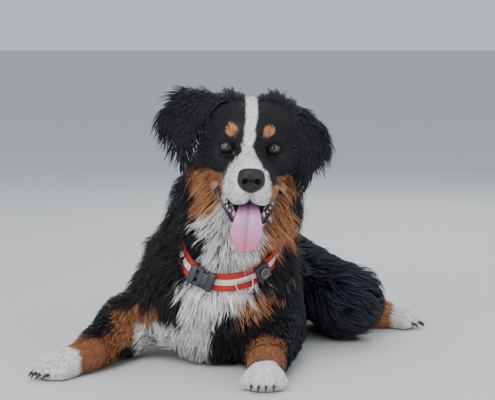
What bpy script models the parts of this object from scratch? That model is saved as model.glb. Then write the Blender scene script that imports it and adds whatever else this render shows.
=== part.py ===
"""Bernese mountain dog lying on the floor with its head up, life size.

Metres, +Z up. The dog faces -Y and its left side is at +X. The floor is at Z = 0, and the
origin is the middle of the flat under the chest.

The flesh is a smooth field of distances built from joints and radii. It is meshed, decimated
and cut into the parts of the body. Flat tapered locks of coat then grow on each part and are
fused with it, each bent clear of the other parts by a thin gap.
"""

import bmesh
import bpy
import numpy as np
from itertools import permutations
from math import cos, pi, radians, sin
from mathutils.bvhtree import BVHTree
from mathutils import Euler, Matrix, Vector

GAP = 0.0003

# The trunk lies along +Y, rolled a little onto the right hip.
FORECHEST = (0.005, -0.095, 0.112)
CHEST = (0.000, 0.005, 0.118)
RIBS = (0.033, 0.150, 0.122)
LOIN = (0.055, 0.290, 0.098)
RUMP = (0.067, 0.385, 0.092)
NECK_BASE = (0.007, -0.015, 0.185)
NECK_MID = (0.033, -0.065, 0.270)
NECK_TOP = (0.051, -0.098, 0.340)
THROAT = (0.030, -0.110, 0.215)

SHOULDER_LEFT = (0.090, -0.070, 0.120)
ELBOW_LEFT = (0.103, -0.045, 0.050)
FOREARM_LEFT = (0.095, -0.130, 0.052)
WRIST_LEFT = (0.089, -0.265, 0.032)
PAW_FRONT_LEFT = (0.083, -0.332, 0.016)

SHOULDER_RIGHT = (-0.082, -0.060, 0.120)
ELBOW_RIGHT = (-0.167, -0.050, 0.058)
WRIST_RIGHT = (-0.225, -0.192, 0.032)
PAW_FRONT_RIGHT = (-0.275, -0.242, 0.016)

HIP_LEFT = (0.120, 0.330, 0.110)
KNEE_LEFT = (0.247, 0.115, 0.078)
HOCK_LEFT = (0.225, 0.282, 0.036)
INSTEP_LEFT = (0.310, 0.252, 0.030)
PAW_HIND_LEFT = (0.367, 0.238, 0.016)

HIP_RIGHT = (0.010, 0.350, 0.080)
KNEE_RIGHT = (-0.070, 0.175, 0.062)
HOCK_RIGHT = (-0.063, 0.355, 0.030)
INSTEP_RIGHT = (-0.085, 0.240, 0.024)
PAW_HIND_RIGHT = (-0.095, 0.162, 0.016)

TAIL_ROOT = (0.070, 0.460, 0.080)
TAIL_BEND = (0.060, 0.550, 0.036)
TAIL_LAID = (0.000, 0.660, 0.030)
TAIL_TIP = (-0.095, 0.740, 0.026)

# The head's own frame has its origin midway between the eyes, and the muzzle runs along -Y.
HEAD_AT = (0.060, -0.200, 0.397)
HEAD_TURN = (radians(8.0), radians(2.5), radians(2.0))
EYE_HALF_SPACING = 0.0400
EYE_RADIUS = 0.0118
EYE_SET_BACK = 0.0010


def rows(points):
    return np.asarray(points, dtype=float).reshape(-1, 3)


def smooth_min(a, b, blend):
    h = np.clip(0.5 + 0.5 * (b - a) / blend, 0.0, 1.0)
    return b + (a - b) * h - blend * h * (1.0 - h)


def smooth_max(a, b, blend):
    return -smooth_min(-a, -b, blend)


def ellipsoid(p, centre, radii, turn=(0.0, 0.0, 0.0)):
    """Distance to an ellipsoid that is turned about its own centre."""
    spin = np.array(Euler(turn).to_matrix())
    q = (p - np.array(centre)) @ spin
    near = np.linalg.norm(q / np.array(radii), axis=1)
    slope = np.linalg.norm(q / np.array(radii) ** 2, axis=1)
    return near * (near - 1.0) / np.maximum(slope, 1e-9)


def cone(p, start, end, start_radius, end_radius, flat=1.0):
    """Distance to a round cone; flat below 1 makes it lower than it is wide."""
    squash = np.array((1.0, 1.0, 1.0 / flat))
    a, b, q = np.array(start) * squash, np.array(end) * squash, p * squash
    along = b - a
    t = np.clip((q - a) @ along / (along @ along), 0.0, 1.0)
    gap = np.linalg.norm(q - a - t[:, None] * along, axis=1)
    return (gap - start_radius - t * (end_radius - start_radius)) * flat


def joined(distances, blend):
    total = distances[0]
    for distance in distances[1:]:
        total = smooth_min(total, distance, blend)
    return total


def trunk(p):
    return joined(
        [
            ellipsoid(p, CHEST, (0.108, 0.140, 0.112)),
            ellipsoid(p, FORECHEST, (0.082, 0.070, 0.094)),
            ellipsoid(p, RIBS, (0.114, 0.160, 0.098)),
            ellipsoid(p, LOIN, (0.092, 0.125, 0.080)),
            ellipsoid(p, RUMP, (0.092, 0.090, 0.080)),
        ],
        0.05,
    )


def neck(p):
    nape = cone(p, NECK_BASE, NECK_MID, 0.086, 0.074)
    crest = cone(p, NECK_MID, NECK_TOP, 0.080, 0.078)
    throat = cone(p, FORECHEST, THROAT, 0.068, 0.060)
    gullet = cone(p, THROAT, NECK_TOP, 0.060, 0.048)
    return joined([nape, crest, throat, gullet], 0.03)


def foot(p, ankle, toes, width):
    """A paw: a rounded body with four toes side by side, pointing from the ankle outwards."""
    ankle, toes = np.array(ankle), np.array(toes)
    ahead = (toes - ankle) * (1.0, 1.0, 0.0)
    ahead /= np.linalg.norm(ahead)
    across = np.array((-ahead[1], ahead[0], 0.0))
    body = cone(p, ankle, toes, width * 0.36, width * 0.40, 0.85)
    four = ((-0.33, 0.16, 0.25), (-0.12, 0.34, 0.30), (0.12, 0.34, 0.30), (0.33, 0.16, 0.25))
    for place, reach, height in four:
        tip = toes + across * place * width + ahead * reach * width
        tip[2] = height * width * 0.72
        back = toes + across * place * width * 0.8
        back[2] = tip[2] * 1.25
        body = smooth_min(body, cone(p, back, tip, width * 0.17, width * 0.155, 0.95), width * 0.07)
    return body


def foreleg_left(p):
    return joined(
        [
            ellipsoid(p, SHOULDER_LEFT, (0.050, 0.080, 0.085)),
            cone(p, SHOULDER_LEFT, ELBOW_LEFT, 0.050, 0.046),
            cone(p, ELBOW_LEFT, FOREARM_LEFT, 0.046, 0.044),
            cone(p, FOREARM_LEFT, WRIST_LEFT, 0.044, 0.029),
        ],
        0.025,
    )


def foreleg_right(p):
    return joined(
        [
            ellipsoid(p, SHOULDER_RIGHT, (0.050, 0.076, 0.086)),
            cone(p, SHOULDER_RIGHT, ELBOW_RIGHT, 0.052, 0.042),
            cone(p, ELBOW_RIGHT, WRIST_RIGHT, 0.038, 0.026),
        ],
        0.03,
    )


def hindleg_left(p):
    return joined(
        [
            cone(p, HIP_LEFT, KNEE_LEFT, 0.070, 0.050),
            cone(p, KNEE_LEFT, HOCK_LEFT, 0.044, 0.028),
            cone(p, HOCK_LEFT, INSTEP_LEFT, 0.028, 0.024),
        ],
        0.03,
    )


def hindleg_right(p):
    return joined(
        [
            cone(p, HIP_RIGHT, KNEE_RIGHT, 0.072, 0.050),
            cone(p, KNEE_RIGHT, HOCK_RIGHT, 0.044, 0.028),
            cone(p, HOCK_RIGHT, INSTEP_RIGHT, 0.026, 0.022),
        ],
        0.03,
    )


def tail(p):
    return joined(
        [
            cone(p, RUMP, TAIL_ROOT, 0.050, 0.030),
            cone(p, TAIL_ROOT, TAIL_BEND, 0.030, 0.024),
            cone(p, TAIL_BEND, TAIL_LAID, 0.024, 0.020),
            cone(p, TAIL_LAID, TAIL_TIP, 0.020, 0.010),
        ],
        0.02,
    )


FEET = {
    "paw_front_left": (WRIST_LEFT, PAW_FRONT_LEFT, 0.082),
    "paw_front_right": (WRIST_RIGHT, PAW_FRONT_RIGHT, 0.080),
    "paw_hind_left": (INSTEP_LEFT, PAW_HIND_LEFT, 0.066),
    "paw_hind_right": (INSTEP_RIGHT, PAW_HIND_RIGHT, 0.066),
}
HEAD_SPIN = np.array(Euler(HEAD_TURN, "XZY").to_matrix())


def to_head(p):
    return (rows(p) - np.array(HEAD_AT)) @ HEAD_SPIN


def from_head(p):
    return rows(p) @ HEAD_SPIN.T + np.array(HEAD_AT)


def head(p):
    """The head with its mouth open, in the world's frame; its two sides are alike."""
    q = to_head(p)
    q = np.column_stack((np.abs(q[:, 0]), q[:, 1], q[:, 2]))
    skull = ellipsoid(q, (0.0, 0.062, 0.010), (0.070, 0.083, 0.060))
    brow = ellipsoid(q, (0.0, 0.024, 0.027), (0.056, 0.040, 0.033))
    ridge = ellipsoid(q, (0.034, 0.004, 0.019), (0.020, 0.013, 0.009), (0.0, radians(12), 0.0))
    cheek = ellipsoid(q, (0.048, 0.034, -0.024), (0.030, 0.052, 0.036))
    temple = ellipsoid(q, (0.040, 0.070, 0.032), (0.036, 0.050, 0.036))
    bridge = cone(q, (0.0, 0.006, -0.008), (0.0, -0.086, -0.026), 0.030, 0.0205)
    side = cone(q, (0.022, 0.000, -0.036), (0.013, -0.076, -0.042), 0.026, 0.024)
    flew = ellipsoid(q, (0.030, -0.038, -0.060), (0.016, 0.046, 0.023), (radians(-6), 0.0, radians(12)))
    pad = ellipsoid(q, (0.0185, -0.079, -0.060), (0.0200, 0.025, 0.0245))
    face = joined([skull, brow, cheek, temple], 0.025)
    face = smooth_min(face, ridge, 0.010)
    snout = smooth_min(smooth_min(bridge, side, 0.016), smooth_min(flew, pad, 0.012), 0.010)
    face = smooth_min(face, snout, 0.020)
    hollow = ellipsoid(q, (0.040, -0.016, -0.004), (0.016, 0.012, 0.012))
    face = smooth_max(face, -hollow, 0.012)
    jaw = cone(q, (0.026, 0.022, -0.080), (0.012, -0.060, -0.117), 0.024, 0.0135)
    chin = ellipsoid(q, (0.0, -0.064, -0.119), (0.022, 0.018, 0.012))
    lip = cone(q, (0.058, -0.004, -0.071), (0.026, -0.068, -0.112), 0.0075, 0.0055)
    lower = joined([jaw, chin], 0.012)
    lower = smooth_min(lower, lip, 0.008)
    under = ellipsoid(q, (0.0, 0.045, -0.062), (0.046, 0.055, 0.040))
    head_all = smooth_min(smooth_min(face, lower, 0.006), under, 0.020)
    mouth = cone(q, (0.016, 0.000, -0.072), (0.011, -0.100, -0.098), 0.011, 0.021, 0.75)
    corner = ellipsoid(q, (0.037, -0.031, -0.081), (0.024, 0.034, 0.0100), (radians(22), 0.0, radians(14)))
    return smooth_max(smooth_max(head_all, -mouth, 0.005), -corner, 0.004)


def body(p):
    """Distance to the whole skin."""
    p = rows(p)
    total = smooth_min(trunk(p), neck(p), 0.05)
    for limb in (foreleg_left, foreleg_right, hindleg_left, hindleg_right):
        total = smooth_min(total, limb(p), 0.022)
    for ankle, toes, width in FEET.values():
        total = smooth_min(total, foot(p, ankle, toes, width), 0.012)
    total = smooth_min(total, tail(p), 0.03)
    return smooth_min(total, head(p), 0.025)


TETRAHEDRA = ((0, 1, 3, 7), (0, 5, 1, 7), (0, 3, 2, 7), (0, 2, 6, 7), (0, 4, 5, 7), (0, 6, 4, 7))


def even_orders():
    """The orders of four corners that keep a tetrahedron's hand."""
    orders = []
    for order in permutations(range(4)):
        swaps = sum(order[i] > order[j] for i in range(4) for j in range(i + 1, 4))
        if swaps % 2 == 0:
            orders.append(order)
    return orders


def level_surface(field, low, high, cell):
    """Points and triangles of a field's zero level, closed, by cutting each cell's tetrahedra."""
    axes = [np.arange(low[i], high[i] + cell, cell) for i in range(3)]
    shape = tuple(len(axis) for axis in axes)
    grid = np.stack(np.meshgrid(*axes, indexing="ij"), -1).reshape(-1, 3)
    value = np.concatenate([field(part) for part in np.array_split(grid, 40)]).reshape(shape)
    for axis in range(3):
        for border in (0, shape[axis] - 1):
            side = tuple(border if i == axis else slice(None) for i in range(3))
            value[side] = np.maximum(value[side], cell)
    value = value.ravel()
    inside = value < 0.0
    steps = (shape[1] * shape[2], shape[2], 1)
    first = np.arange(len(grid)).reshape(shape)[:-1, :-1, :-1].ravel()
    offsets = [sum(steps[axis] for axis in range(3) if corner >> axis & 1) for corner in range(8)]
    count = sum(inside[first + offset].astype(int) for offset in offsets)
    first = first[(count > 0) & (count < 8)]
    edges = []
    for tetrahedron in TETRAHEDRA:
        corner = np.stack([first + offsets[c] for c in tetrahedron], 1)
        within = inside[corner]
        done = np.zeros(len(first), dtype=bool)
        for p, q, r, s in even_orders():
            held = [within[:, i] for i in (p, q, r, s)]
            one = held[0] & ~held[1] & ~held[2] & ~held[3] & ~done
            three = ~held[0] & held[1] & held[2] & held[3] & ~done
            two = held[0] & held[1] & ~held[2] & ~held[3] & ~done
            done |= one | three | two
            for which, corners in (
                (one, ((p, q), (p, r), (p, s))),
                (three, ((p, q), (p, s), (p, r))),
                (two, ((p, r), (p, s), (q, s))),
                (two, ((p, r), (q, s), (q, r))),
            ):
                edges.append(np.stack([corner[which][:, pair] for pair in corners], 1))
    edges = np.sort(np.concatenate(edges), axis=2).reshape(-1, 2)
    unique, index = np.unique(edges, axis=0, return_inverse=True)
    near, far = value[unique[:, 0]], value[unique[:, 1]]
    share = np.clip(near / (near - far), 0.02, 0.98)[:, None]
    points = grid[unique[:, 0]] * (1.0 - share) + grid[unique[:, 1]] * share
    faces = index.reshape(-1, 3)
    return evened(points, faces), faces


def evened(points, faces, rounds=3):
    """Draws the points of a mesh towards their neighbours, which takes its slivers away."""
    ends = np.concatenate([faces[:, (0, 1)], faces[:, (1, 2)], faces[:, (2, 0)]])
    count = np.bincount(ends[:, 0], minlength=len(points))[:, None]
    for _ in range(rounds):
        near = [np.bincount(ends[:, 0], points[ends[:, 1], axis], len(points)) for axis in range(3)]
        near = np.stack(near, 1)
        points = 0.4 * points + 0.6 * near / count
    return points


# How deep the coat stands over the skin, and how much of that the solid core takes up.
COAT = {"trunk": 0.030, "neck": 0.036, "leg": 0.013, "thigh": 0.028, "paw": 0.004, "tail": 0.032}
CORE_SHARE = 0.45


def head_coat(p):
    """Short on the muzzle and brow, longer over the cheeks and the back of the skull."""
    q = to_head(p)
    back = np.clip((q[:, 1] + 0.020) / 0.080, 0.0, 1.0)
    away = (np.abs(q[:, 0]) - 0.075) ** 2 + (q[:, 1] - 0.045) ** 2 + (q[:, 2] + 0.045) ** 2
    cheek = np.exp(-away / 0.0014)
    return 0.003 + 0.011 * back + 0.014 * cheek


def coat(p):
    """Depth of the coat, blended between the parts of the body by how near each is."""
    p = rows(p)
    legs = np.minimum(foreleg_left(p), foreleg_right(p))
    thighs = np.minimum(hindleg_left(p), hindleg_right(p))
    paws = np.min([foot(p, *size) for size in FEET.values()], axis=0)
    near = [
        (trunk(p), COAT["trunk"]),
        (neck(p), COAT["neck"]),
        (legs, COAT["leg"]),
        (thighs, COAT["thigh"]),
        (paws - 0.012, COAT["paw"]),
        (tail(p), COAT["tail"]),
        (head(p) - 0.006, head_coat(p)),
    ]
    weights = [np.exp(-np.maximum(distance, -0.02) / 0.010) for distance, _ in near]
    return sum(w * depth for w, (_, depth) in zip(weights, near)) / sum(weights)


def core(p):
    return body(p) - CORE_SHARE * coat(p)


def enclosed(points, faces):
    """Volume inside closed faces, negative where they point inwards."""
    fans = np.array([(face[0], a, b) for face in faces for a, b in zip(face[1:-1], face[2:])])
    corner = points[fans]
    return np.sum(corner[:, 0] * np.cross(corner[:, 1], corner[:, 2])) / 6.0


def make(name, points, faces):
    points = rows(points)
    faces = np.asarray(faces).tolist() if isinstance(faces, np.ndarray) else list(faces)
    if len(faces) and enclosed(points, faces) < 0.0:
        faces = [face[::-1] for face in faces]
    mesh = bpy.data.meshes.new(name)
    mesh.from_pydata(points.tolist(), [], faces)
    made = bpy.data.objects.new(name, mesh)
    bpy.context.scene.collection.objects.link(made)
    return made


def apply_modifiers(made):
    """Keeps the evaluated shape as the object's own mesh."""
    shape = bpy.data.meshes.new_from_object(made.evaluated_get(bpy.context.evaluated_depsgraph_get()))
    made.modifiers.clear()
    made.data = shape


def remove(made):
    bpy.data.objects.remove(made, do_unlink=True)


def combine(made, operation, others):
    """One Boolean of an object with others, which it uses up.

    The flesh is closed but decimated, and it may graze itself in a fold, where the EXACT
    solver leaves open edges, so its parts are cut and joined with MANIFOLD.
    """
    group = bpy.data.collections.new("operands")
    for other in others:
        group.objects.link(other)
    step = made.modifiers.new(operation, "BOOLEAN")
    step.operation = operation
    step.solver = "MANIFOLD"
    step.operand_type = "COLLECTION"
    step.collection = group
    apply_modifiers(made)
    for other in others:
        remove(other)
    bpy.data.collections.remove(group)


def keep_largest(made):
    """Drops every closed surface of the object but the largest, going from face to face."""
    mesh = made.data
    part_of = list(range(len(mesh.polygons)))

    def root(i):
        while part_of[i] != i:
            part_of[i] = part_of[part_of[i]]
            i = part_of[i]
        return i

    beside = {}
    for polygon in mesh.polygons:
        for edge in polygon.edge_keys:
            other = beside.setdefault(edge, polygon.index)
            part_of[root(other)] = root(polygon.index)
    size = {}
    for polygon in mesh.polygons:
        where = root(polygon.index)
        size[where] = size.get(where, 0.0) + polygon.area
    largest = max(size, key=size.get)
    faces = [tuple(f.vertices) for f in mesh.polygons if root(f.index) == largest]
    kept = sorted({i for face in faces for i in face})
    new_index = {old: new for new, old in enumerate(kept)}
    points = [mesh.vertices[i].co[:] for i in kept]
    shape = bpy.data.meshes.new(made.name)
    shape.from_pydata(points, [], [[new_index[i] for i in face] for face in faces])
    made.data = shape


def decimate(made, triangles):
    made.data.calc_loop_triangles()
    step = made.modifiers.new("fewer", "DECIMATE")
    step.ratio = min(1.0, triangles / len(made.data.loop_triangles))
    step.use_collapse_triangulate = True
    apply_modifiers(made)


def shaped(name, field, low, high, cell, triangles):
    made = make(name, *level_surface(field, low, high, cell))
    decimate(made, triangles)
    return made


BOX_FACES = ((0, 2, 3, 1), (4, 5, 7, 6), (0, 1, 5, 4), (2, 6, 7, 3), (0, 4, 6, 2), (1, 3, 7, 5))


def block(low, high, grow=0.0):
    """A box along the axes, from one corner to the other."""
    low, high = np.array(low) - grow, np.array(high) + grow
    corners = [[(low, high)[i >> axis & 1][axis] for axis in range(3)] for i in range(8)]
    return make("block", corners, BOX_FACES)


def beyond(point, normal, reach=0.35, wide=0.22, grow=0.0):
    """A box on one side of the plane through a point, reaching away along the normal."""
    box = block((-wide, -wide, 0.0), (wide, wide, reach), grow)
    turn = Vector(normal).to_track_quat("Z", "Y").to_matrix().to_4x4()
    box.data.transform(Matrix.Translation(point) @ turn)
    return box


def carve(source, name, cutter, **sizes):
    """Takes what lies inside a cutter out of the source, as a part of its own, a gap away."""
    taken = make(name, [], [])
    taken.data = source.data.copy()
    combine(taken, "INTERSECT", [cutter(**sizes, grow=-GAP / 2)])
    combine(source, "DIFFERENCE", [cutter(**sizes, grow=GAP / 2)])
    keep_largest(taken)
    keep_largest(source)
    return taken


def fattened(made, by):
    """A copy that stands off the object's faces all round, to cut its neighbours clear."""
    copy = make("clearance", [], [])
    shape = bmesh.new()
    shape.from_mesh(made.data)
    shape.normal_update()
    moves = [v.normal * min(v.calc_shell_factor(), 4.0) * by for v in shape.verts]
    for v, move in zip(shape.verts, moves):
        v.co += move
    shape.to_mesh(copy.data)
    shape.free()
    return copy


def clear_of(made, *others, by=GAP * 1.1):
    for other in others:
        combine(made, "DIFFERENCE", [fattened(other, by)])
        keep_largest(made)


def loft(name, centres, across, half_widths, half_depths, bow=0.0, sides=10):
    """A leaf swept along a line of centres; bow bends its cross-section into a cup."""
    centres, across = rows(centres), rows(across)
    along = np.gradient(centres, axis=0)
    points = [centres[0]]
    for centre, side, ahead, width, depth in zip(centres, across, along, half_widths, half_depths):
        side = side / np.linalg.norm(side)
        up = np.cross(side, ahead)
        up /= np.linalg.norm(up)
        for k in range(sides):
            a = 2 * pi * k / sides
            lift = depth * sin(a) + bow * width * (cos(a) ** 2 - 0.5)
            points.append(centre + side * width * cos(a) + up * lift)
    points.append(centres[-1])
    last = len(points) - 1
    faces = []
    for k in range(sides):
        j = (k + 1) % sides
        faces.append((0, 1 + j, 1 + k))
        for ring in range(len(centres) - 1):
            a, b = 1 + ring * sides, 1 + (ring + 1) * sides
            faces.append((a + k, a + j, b + j, b + k))
        end = 1 + (len(centres) - 1) * sides
        faces.append((end + k, end + j, last))
    return make(name, points, faces)


def bezier(ends, count):
    t = np.linspace(0.0, 1.0, count)[:, None]
    a, b, c, d = [np.array(point) for point in ends]
    return (1 - t) ** 3 * a + 3 * (1 - t) ** 2 * t * b + 3 * (1 - t) * t**2 * c + t**3 * d


HEAD_CUT = dict(point=(0.055, -0.100, 0.315), normal=(0.0, -0.574, 0.819))
NECK_CUT = dict(point=(0.015, -0.070, 0.190), normal=(0.0, -0.387, 0.922), reach=0.20, wide=0.175)


def flesh_parts():
    """The core of the body, cut into its parts by flat faces a gap apart."""
    whole = shaped("torso", core, (-0.36, -0.43, -0.03), (0.46, 0.80, 0.40), 0.0120, 2700)
    combine(whole, "INTERSECT", [block((-1.0, -1.0, 0.0), (1.0, 1.5, 1.0))])
    remove(carve(whole, "spare", beyond, **HEAD_CUT))
    upper = shaped("head", core, (-0.075, -0.34, 0.21), (0.185, 0.02, 0.52), 0.0048, 1700)
    combine(upper, "INTERSECT", [beyond(**HEAD_CUT, grow=-GAP / 2)])
    keep_largest(upper)
    parts = {"head": upper}
    cuts = (
        ("neck", beyond, NECK_CUT),
        ("foreleg_left", block, dict(low=(0.019, -0.500, -0.1), high=(0.255, 0.005, 0.100))),
        ("foreleg_right", beyond, dict(point=(-0.133, -0.080, 0.08), normal=(-0.90, -0.35, -0.25))),
        ("hindleg_left", beyond, dict(point=(0.165, 0.230, 0.1), normal=(1.0, 0.2, 0.0))),
        ("hindleg_right", block, dict(low=(-0.245, 0.100, -0.1), high=(-0.051, 0.430, 0.112))),
        ("tail", beyond, dict(point=(0.055, 0.485, 0.1), normal=(0.0, 1.0, 0.0))),
        ("chest", beyond, dict(point=(0.055, 0.070, 0.1), normal=(0.0, -1.0, 0.0), wide=0.5)),
    )
    for name, cutter, sizes in cuts:
        parts[name] = carve(whole, name, cutter, **sizes)
    for name, (ankle, toes, width) in FEET.items():
        leg = name.replace("paw_front", "foreleg").replace("paw_hind", "hindleg")
        ahead = Vector(toes) - Vector(ankle)
        ahead.z = 0.0
        share = 0.05 if "front" in name else 0.25
        wrist = Vector(ankle).lerp(Vector(toes), share)
        parts[name] = carve(parts[leg], name, beyond, point=wrist, normal=ahead, reach=0.16, wide=0.065)
    parts["torso"] = whole
    return parts



EYE_OPEN_WIDE = 0.0108
EYE_OPEN_HIGH = 0.0064


def eye_centre(side):
    return np.array((side * EYE_HALF_SPACING, EYE_SET_BACK, 0.0))


def lids_field(q):
    """Two lids round a ball at the origin, drawn open to an almond along X."""
    ball = np.linalg.norm(q, axis=1)
    shell = np.maximum(ball - EYE_RADIUS - 0.0026, EYE_RADIUS - 0.0008 - ball)
    height = EYE_OPEN_HIGH * np.sqrt(np.clip(1.0 - (q[:, 0] / EYE_OPEN_WIDE) ** 2, 0.0, 1.0))
    opening = np.maximum(np.abs(q[:, 2]) - height, np.abs(q[:, 0]) - EYE_OPEN_WIDE)
    lids = smooth_max(shell, -opening, 0.0012)
    return np.maximum(lids, q[:, 1] - 0.001)


def sphere(name, centre, radius, rings=8):
    """A ball whose poles lie along Y, in the head's frame."""
    points = [(0.0, -radius, 0.0)]
    for i in range(1, rings):
        for k in range(2 * rings):
            around, down = pi * k / rings, pi * i / rings
            x, z = radius * sin(down) * cos(around), radius * sin(down) * sin(around)
            points.append((x, -radius * cos(down), z))
    points.append((0.0, radius, 0.0))
    n = 2 * rings
    faces = [(0, 1 + k, 1 + (k + 1) % n) for k in range(n)]
    for i in range(rings - 2):
        a, b = 1 + i * n, 1 + (i + 1) * n
        faces += [(a + k, b + k, b + (k + 1) % n, a + (k + 1) % n) for k in range(n)]
    end = 1 + (rings - 2) * n
    faces += [(end + (k + 1) % n, end + k, len(points) - 1) for k in range(n)]
    return make(name, from_head(np.array(points) + centre), faces)


def add_eyes(parts):
    for name, side in (("eye_left", 1), ("eye_right", -1)):
        centre = eye_centre(side)
        reach = EYE_RADIUS + 0.006
        slant = np.array(Euler((0.0, -side * radians(9), side * radians(14))).to_matrix())
        lids = shaped("lids", lids_field, (-reach,) * 3, (reach,) * 3, 0.0016, 240)
        place = Matrix((HEAD_SPIN @ slant).tolist()).to_4x4()
        place.translation = from_head(centre)[0]
        lids.data.transform(place)
        combine(parts["head"], "UNION", [lids])
        combine(parts["head"], "DIFFERENCE", [sphere("socket", centre, EYE_RADIUS + GAP)])
        keep_largest(parts["head"])
        parts[name] = sphere(name, centre, EYE_RADIUS)


NOSE_AT = (0.0, -0.1000, -0.0345)


def nose_field(p):
    """The leather of the nose, with its two nostrils and the slits that run out of them."""
    q = to_head(p)
    q = np.column_stack((np.abs(q[:, 0]), q[:, 1], q[:, 2]))
    x, y, z = NOSE_AT
    top = ellipsoid(q, (0.0, y + 0.004, z + 0.008), (0.0215, 0.0165, 0.0130))
    wing = ellipsoid(q, (0.0120, y, z - 0.002), (0.0115, 0.0140, 0.0130))
    lower = ellipsoid(q, (0.0, y + 0.001, z - 0.013), (0.0110, 0.0115, 0.0110))
    leather = joined([top, wing, lower], 0.006)
    nostril = ellipsoid(q, (0.0102, y - 0.0120, z - 0.0010), (0.0052, 0.0090, 0.0048))
    slit = cone(q, (0.0120, y - 0.0120, z - 0.0030), (0.0225, y - 0.0020, z - 0.0075), 0.0026, 0.0012)
    return smooth_max(smooth_max(leather, -nostril, 0.0015), -slit, 0.0012)


def add_nose(parts):
    low = from_head([(0.0, -0.1000, -0.0345)])[0] - 0.036
    high = low + 0.072
    parts["nose"] = shaped("nose", nose_field, low, high, 0.0017, 380)
    combine(parts["head"], "DIFFERENCE", [fattened(parts["nose"], GAP * 1.1)])
    keep_largest(parts["head"])


TONGUE_PATH = (
    (0.0, -0.020, -0.083),
    (0.0, -0.078, -0.080),
    (-0.001, -0.098, -0.098),
    (-0.006, -0.101, -0.155),
)


def add_tongue(parts):
    steps = 10
    t = np.linspace(0.0, 1.0, steps)
    path = bezier(TONGUE_PATH, steps)
    half = 0.0125 + 0.0155 * np.clip(t / 0.75, 0.0, 1.0) ** 1.5
    half = half * np.sqrt(np.clip(1.0 - np.clip((t - 0.78) / 0.235, 0.0, 1.0) ** 2, 0.05, 1.0))
    made = loft("tongue", from_head(path), [HEAD_SPIN[:, 0]] * steps, half, [0.0050] * steps, -0.10, 12)
    parts["tongue"] = made
    clear_of(parts["head"], made)


# Each ear's bend from its root to its tip, in the head's frame with X outward. The right ear is
# folded forward and out, so its tip hangs higher than the left one's.
EAR_PATHS = {
    "ear_left": (
        (0.056, 0.066, 0.056),
        (0.092, 0.066, 0.084),
        (0.121, 0.044, 0.028),
        (0.101, 0.030, -0.072),
    ),
    "ear_right": (
        (0.056, 0.066, 0.056),
        (0.098, 0.068, 0.090),
        (0.145, 0.048, 0.044),
        (0.124, 0.040, -0.032),
    ),
}
EAR_ACROSS = {
    "ear_left": ((0.55, 0.80, -0.25), (0.86, 0.50, 0.00)),
    "ear_right": ((0.75, 0.60, -0.25), (0.90, 0.42, 0.00)),
}
EAR_SIDE = {"ear_left": 1, "ear_right": -1}


def ear_points(name):
    """Centres along the ear's leaf and directions across it, from the front edge to the back."""
    steps = 9
    path = bezier(EAR_PATHS[name], steps)
    t = np.linspace(0.0, 1.0, steps)[:, None]
    first, last = EAR_ACROSS[name]
    across = (1 - t) * np.array(first) + t * np.array(last)
    flip = np.array((EAR_SIDE[name], 1.0, 1.0))
    return path * flip, across * flip


def add_ears(parts):
    t = np.linspace(0.0, 1.0, 9)
    half = 0.034 + 0.016 * np.sin(pi * np.clip(t * 1.1, 0.0, 1.0))
    half = half * np.clip(1.6 * (1.0 - t**3.5), 0.14, 1.0)
    for name, side in EAR_SIDE.items():
        path, across = ear_points(name)
        made = loft(name, from_head(path), across @ HEAD_SPIN.T, half, [0.0055] * 9, side * 0.22, 10)
        parts[name] = made
        clear_of(made, parts["head"])


COLLAR_CENTRE = (0.039, -0.114, 0.239)
COLLAR_TILT = radians(44)
COLLAR_HIGH = 0.031
COLLAR_THICK = 0.0032
COLLAR_SLACK = 0.004


def collar_ring(count):
    """Points round the strap's inner face, and the way out of the neck at each."""
    angles = 2 * pi * np.arange(count) / count
    u = np.array((1.0, 0.0, 0.0))
    v = np.array((0.0, cos(COLLAR_TILT), sin(COLLAR_TILT)))
    out = np.cos(angles)[:, None] * u + np.sin(angles)[:, None] * v
    radius = np.full(count, 0.20)
    for _ in range(60):
        gap = core(np.array(COLLAR_CENTRE) + out * radius[:, None])
        radius -= np.clip(gap - COLLAR_SLACK, -0.01, 0.01) * 0.8
    for _ in range(6):
        radius = np.maximum(radius, (np.roll(radius, 1) + np.roll(radius, -1)) / 2)
    return np.array(COLLAR_CENTRE) + out * radius[:, None], out


def core_slope(p):
    step = 0.002
    slope = [core(p + step * axis) - core(p - step * axis) for axis in np.eye(3)]
    slope = np.stack(slope, 1)
    return slope / np.linalg.norm(slope, axis=1)[:, None]


def collar_frame(count):
    """At each point round the strap: its inner face, the way along, the way up and the way out."""
    ring, _ = collar_ring(count)
    along = np.roll(ring, -1, 0) - np.roll(ring, 1, 0)
    along /= np.linalg.norm(along, axis=1)[:, None]
    lean = np.array((0.0, -sin(COLLAR_TILT), cos(COLLAR_TILT)))
    slope = core_slope(ring)
    for _ in range(4):
        slope = (slope + np.roll(slope, 1, 0) + np.roll(slope, -1, 0)) / 3
    up = lean - np.sum(lean * slope, 1)[:, None] * slope
    up -= np.sum(up * along, 1)[:, None] * along
    up /= np.linalg.norm(up, axis=1)[:, None]
    return ring, along, up, np.cross(along, up)


def collar_at(x):
    """The strap's frame at its front, where it passes a place across the dog."""
    count = 720
    ring, along, up, out = collar_frame(count)
    front = [k for k in range(count) if ring[k][1] < COLLAR_CENTRE[1]]
    k = min(front, key=lambda i: abs(ring[i][0] - x))
    place = Matrix.Identity(4)
    for axis, way in enumerate((-along[k], out[k], up[k])):
        for row in range(3):
            place[row][axis] = way[row]
    place.translation = ring[k]
    return place


def rounded_box(name, size, bevel, centre=(0.0, 0.0, 0.0)):
    half = np.array(size) / 2
    made = block(np.array(centre) - half, np.array(centre) + half)
    made.name = name
    step = made.modifiers.new("round", "BEVEL")
    step.width = bevel
    step.segments = 2
    step.limit_method = "NONE"
    apply_modifiers(made)
    return made


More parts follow.
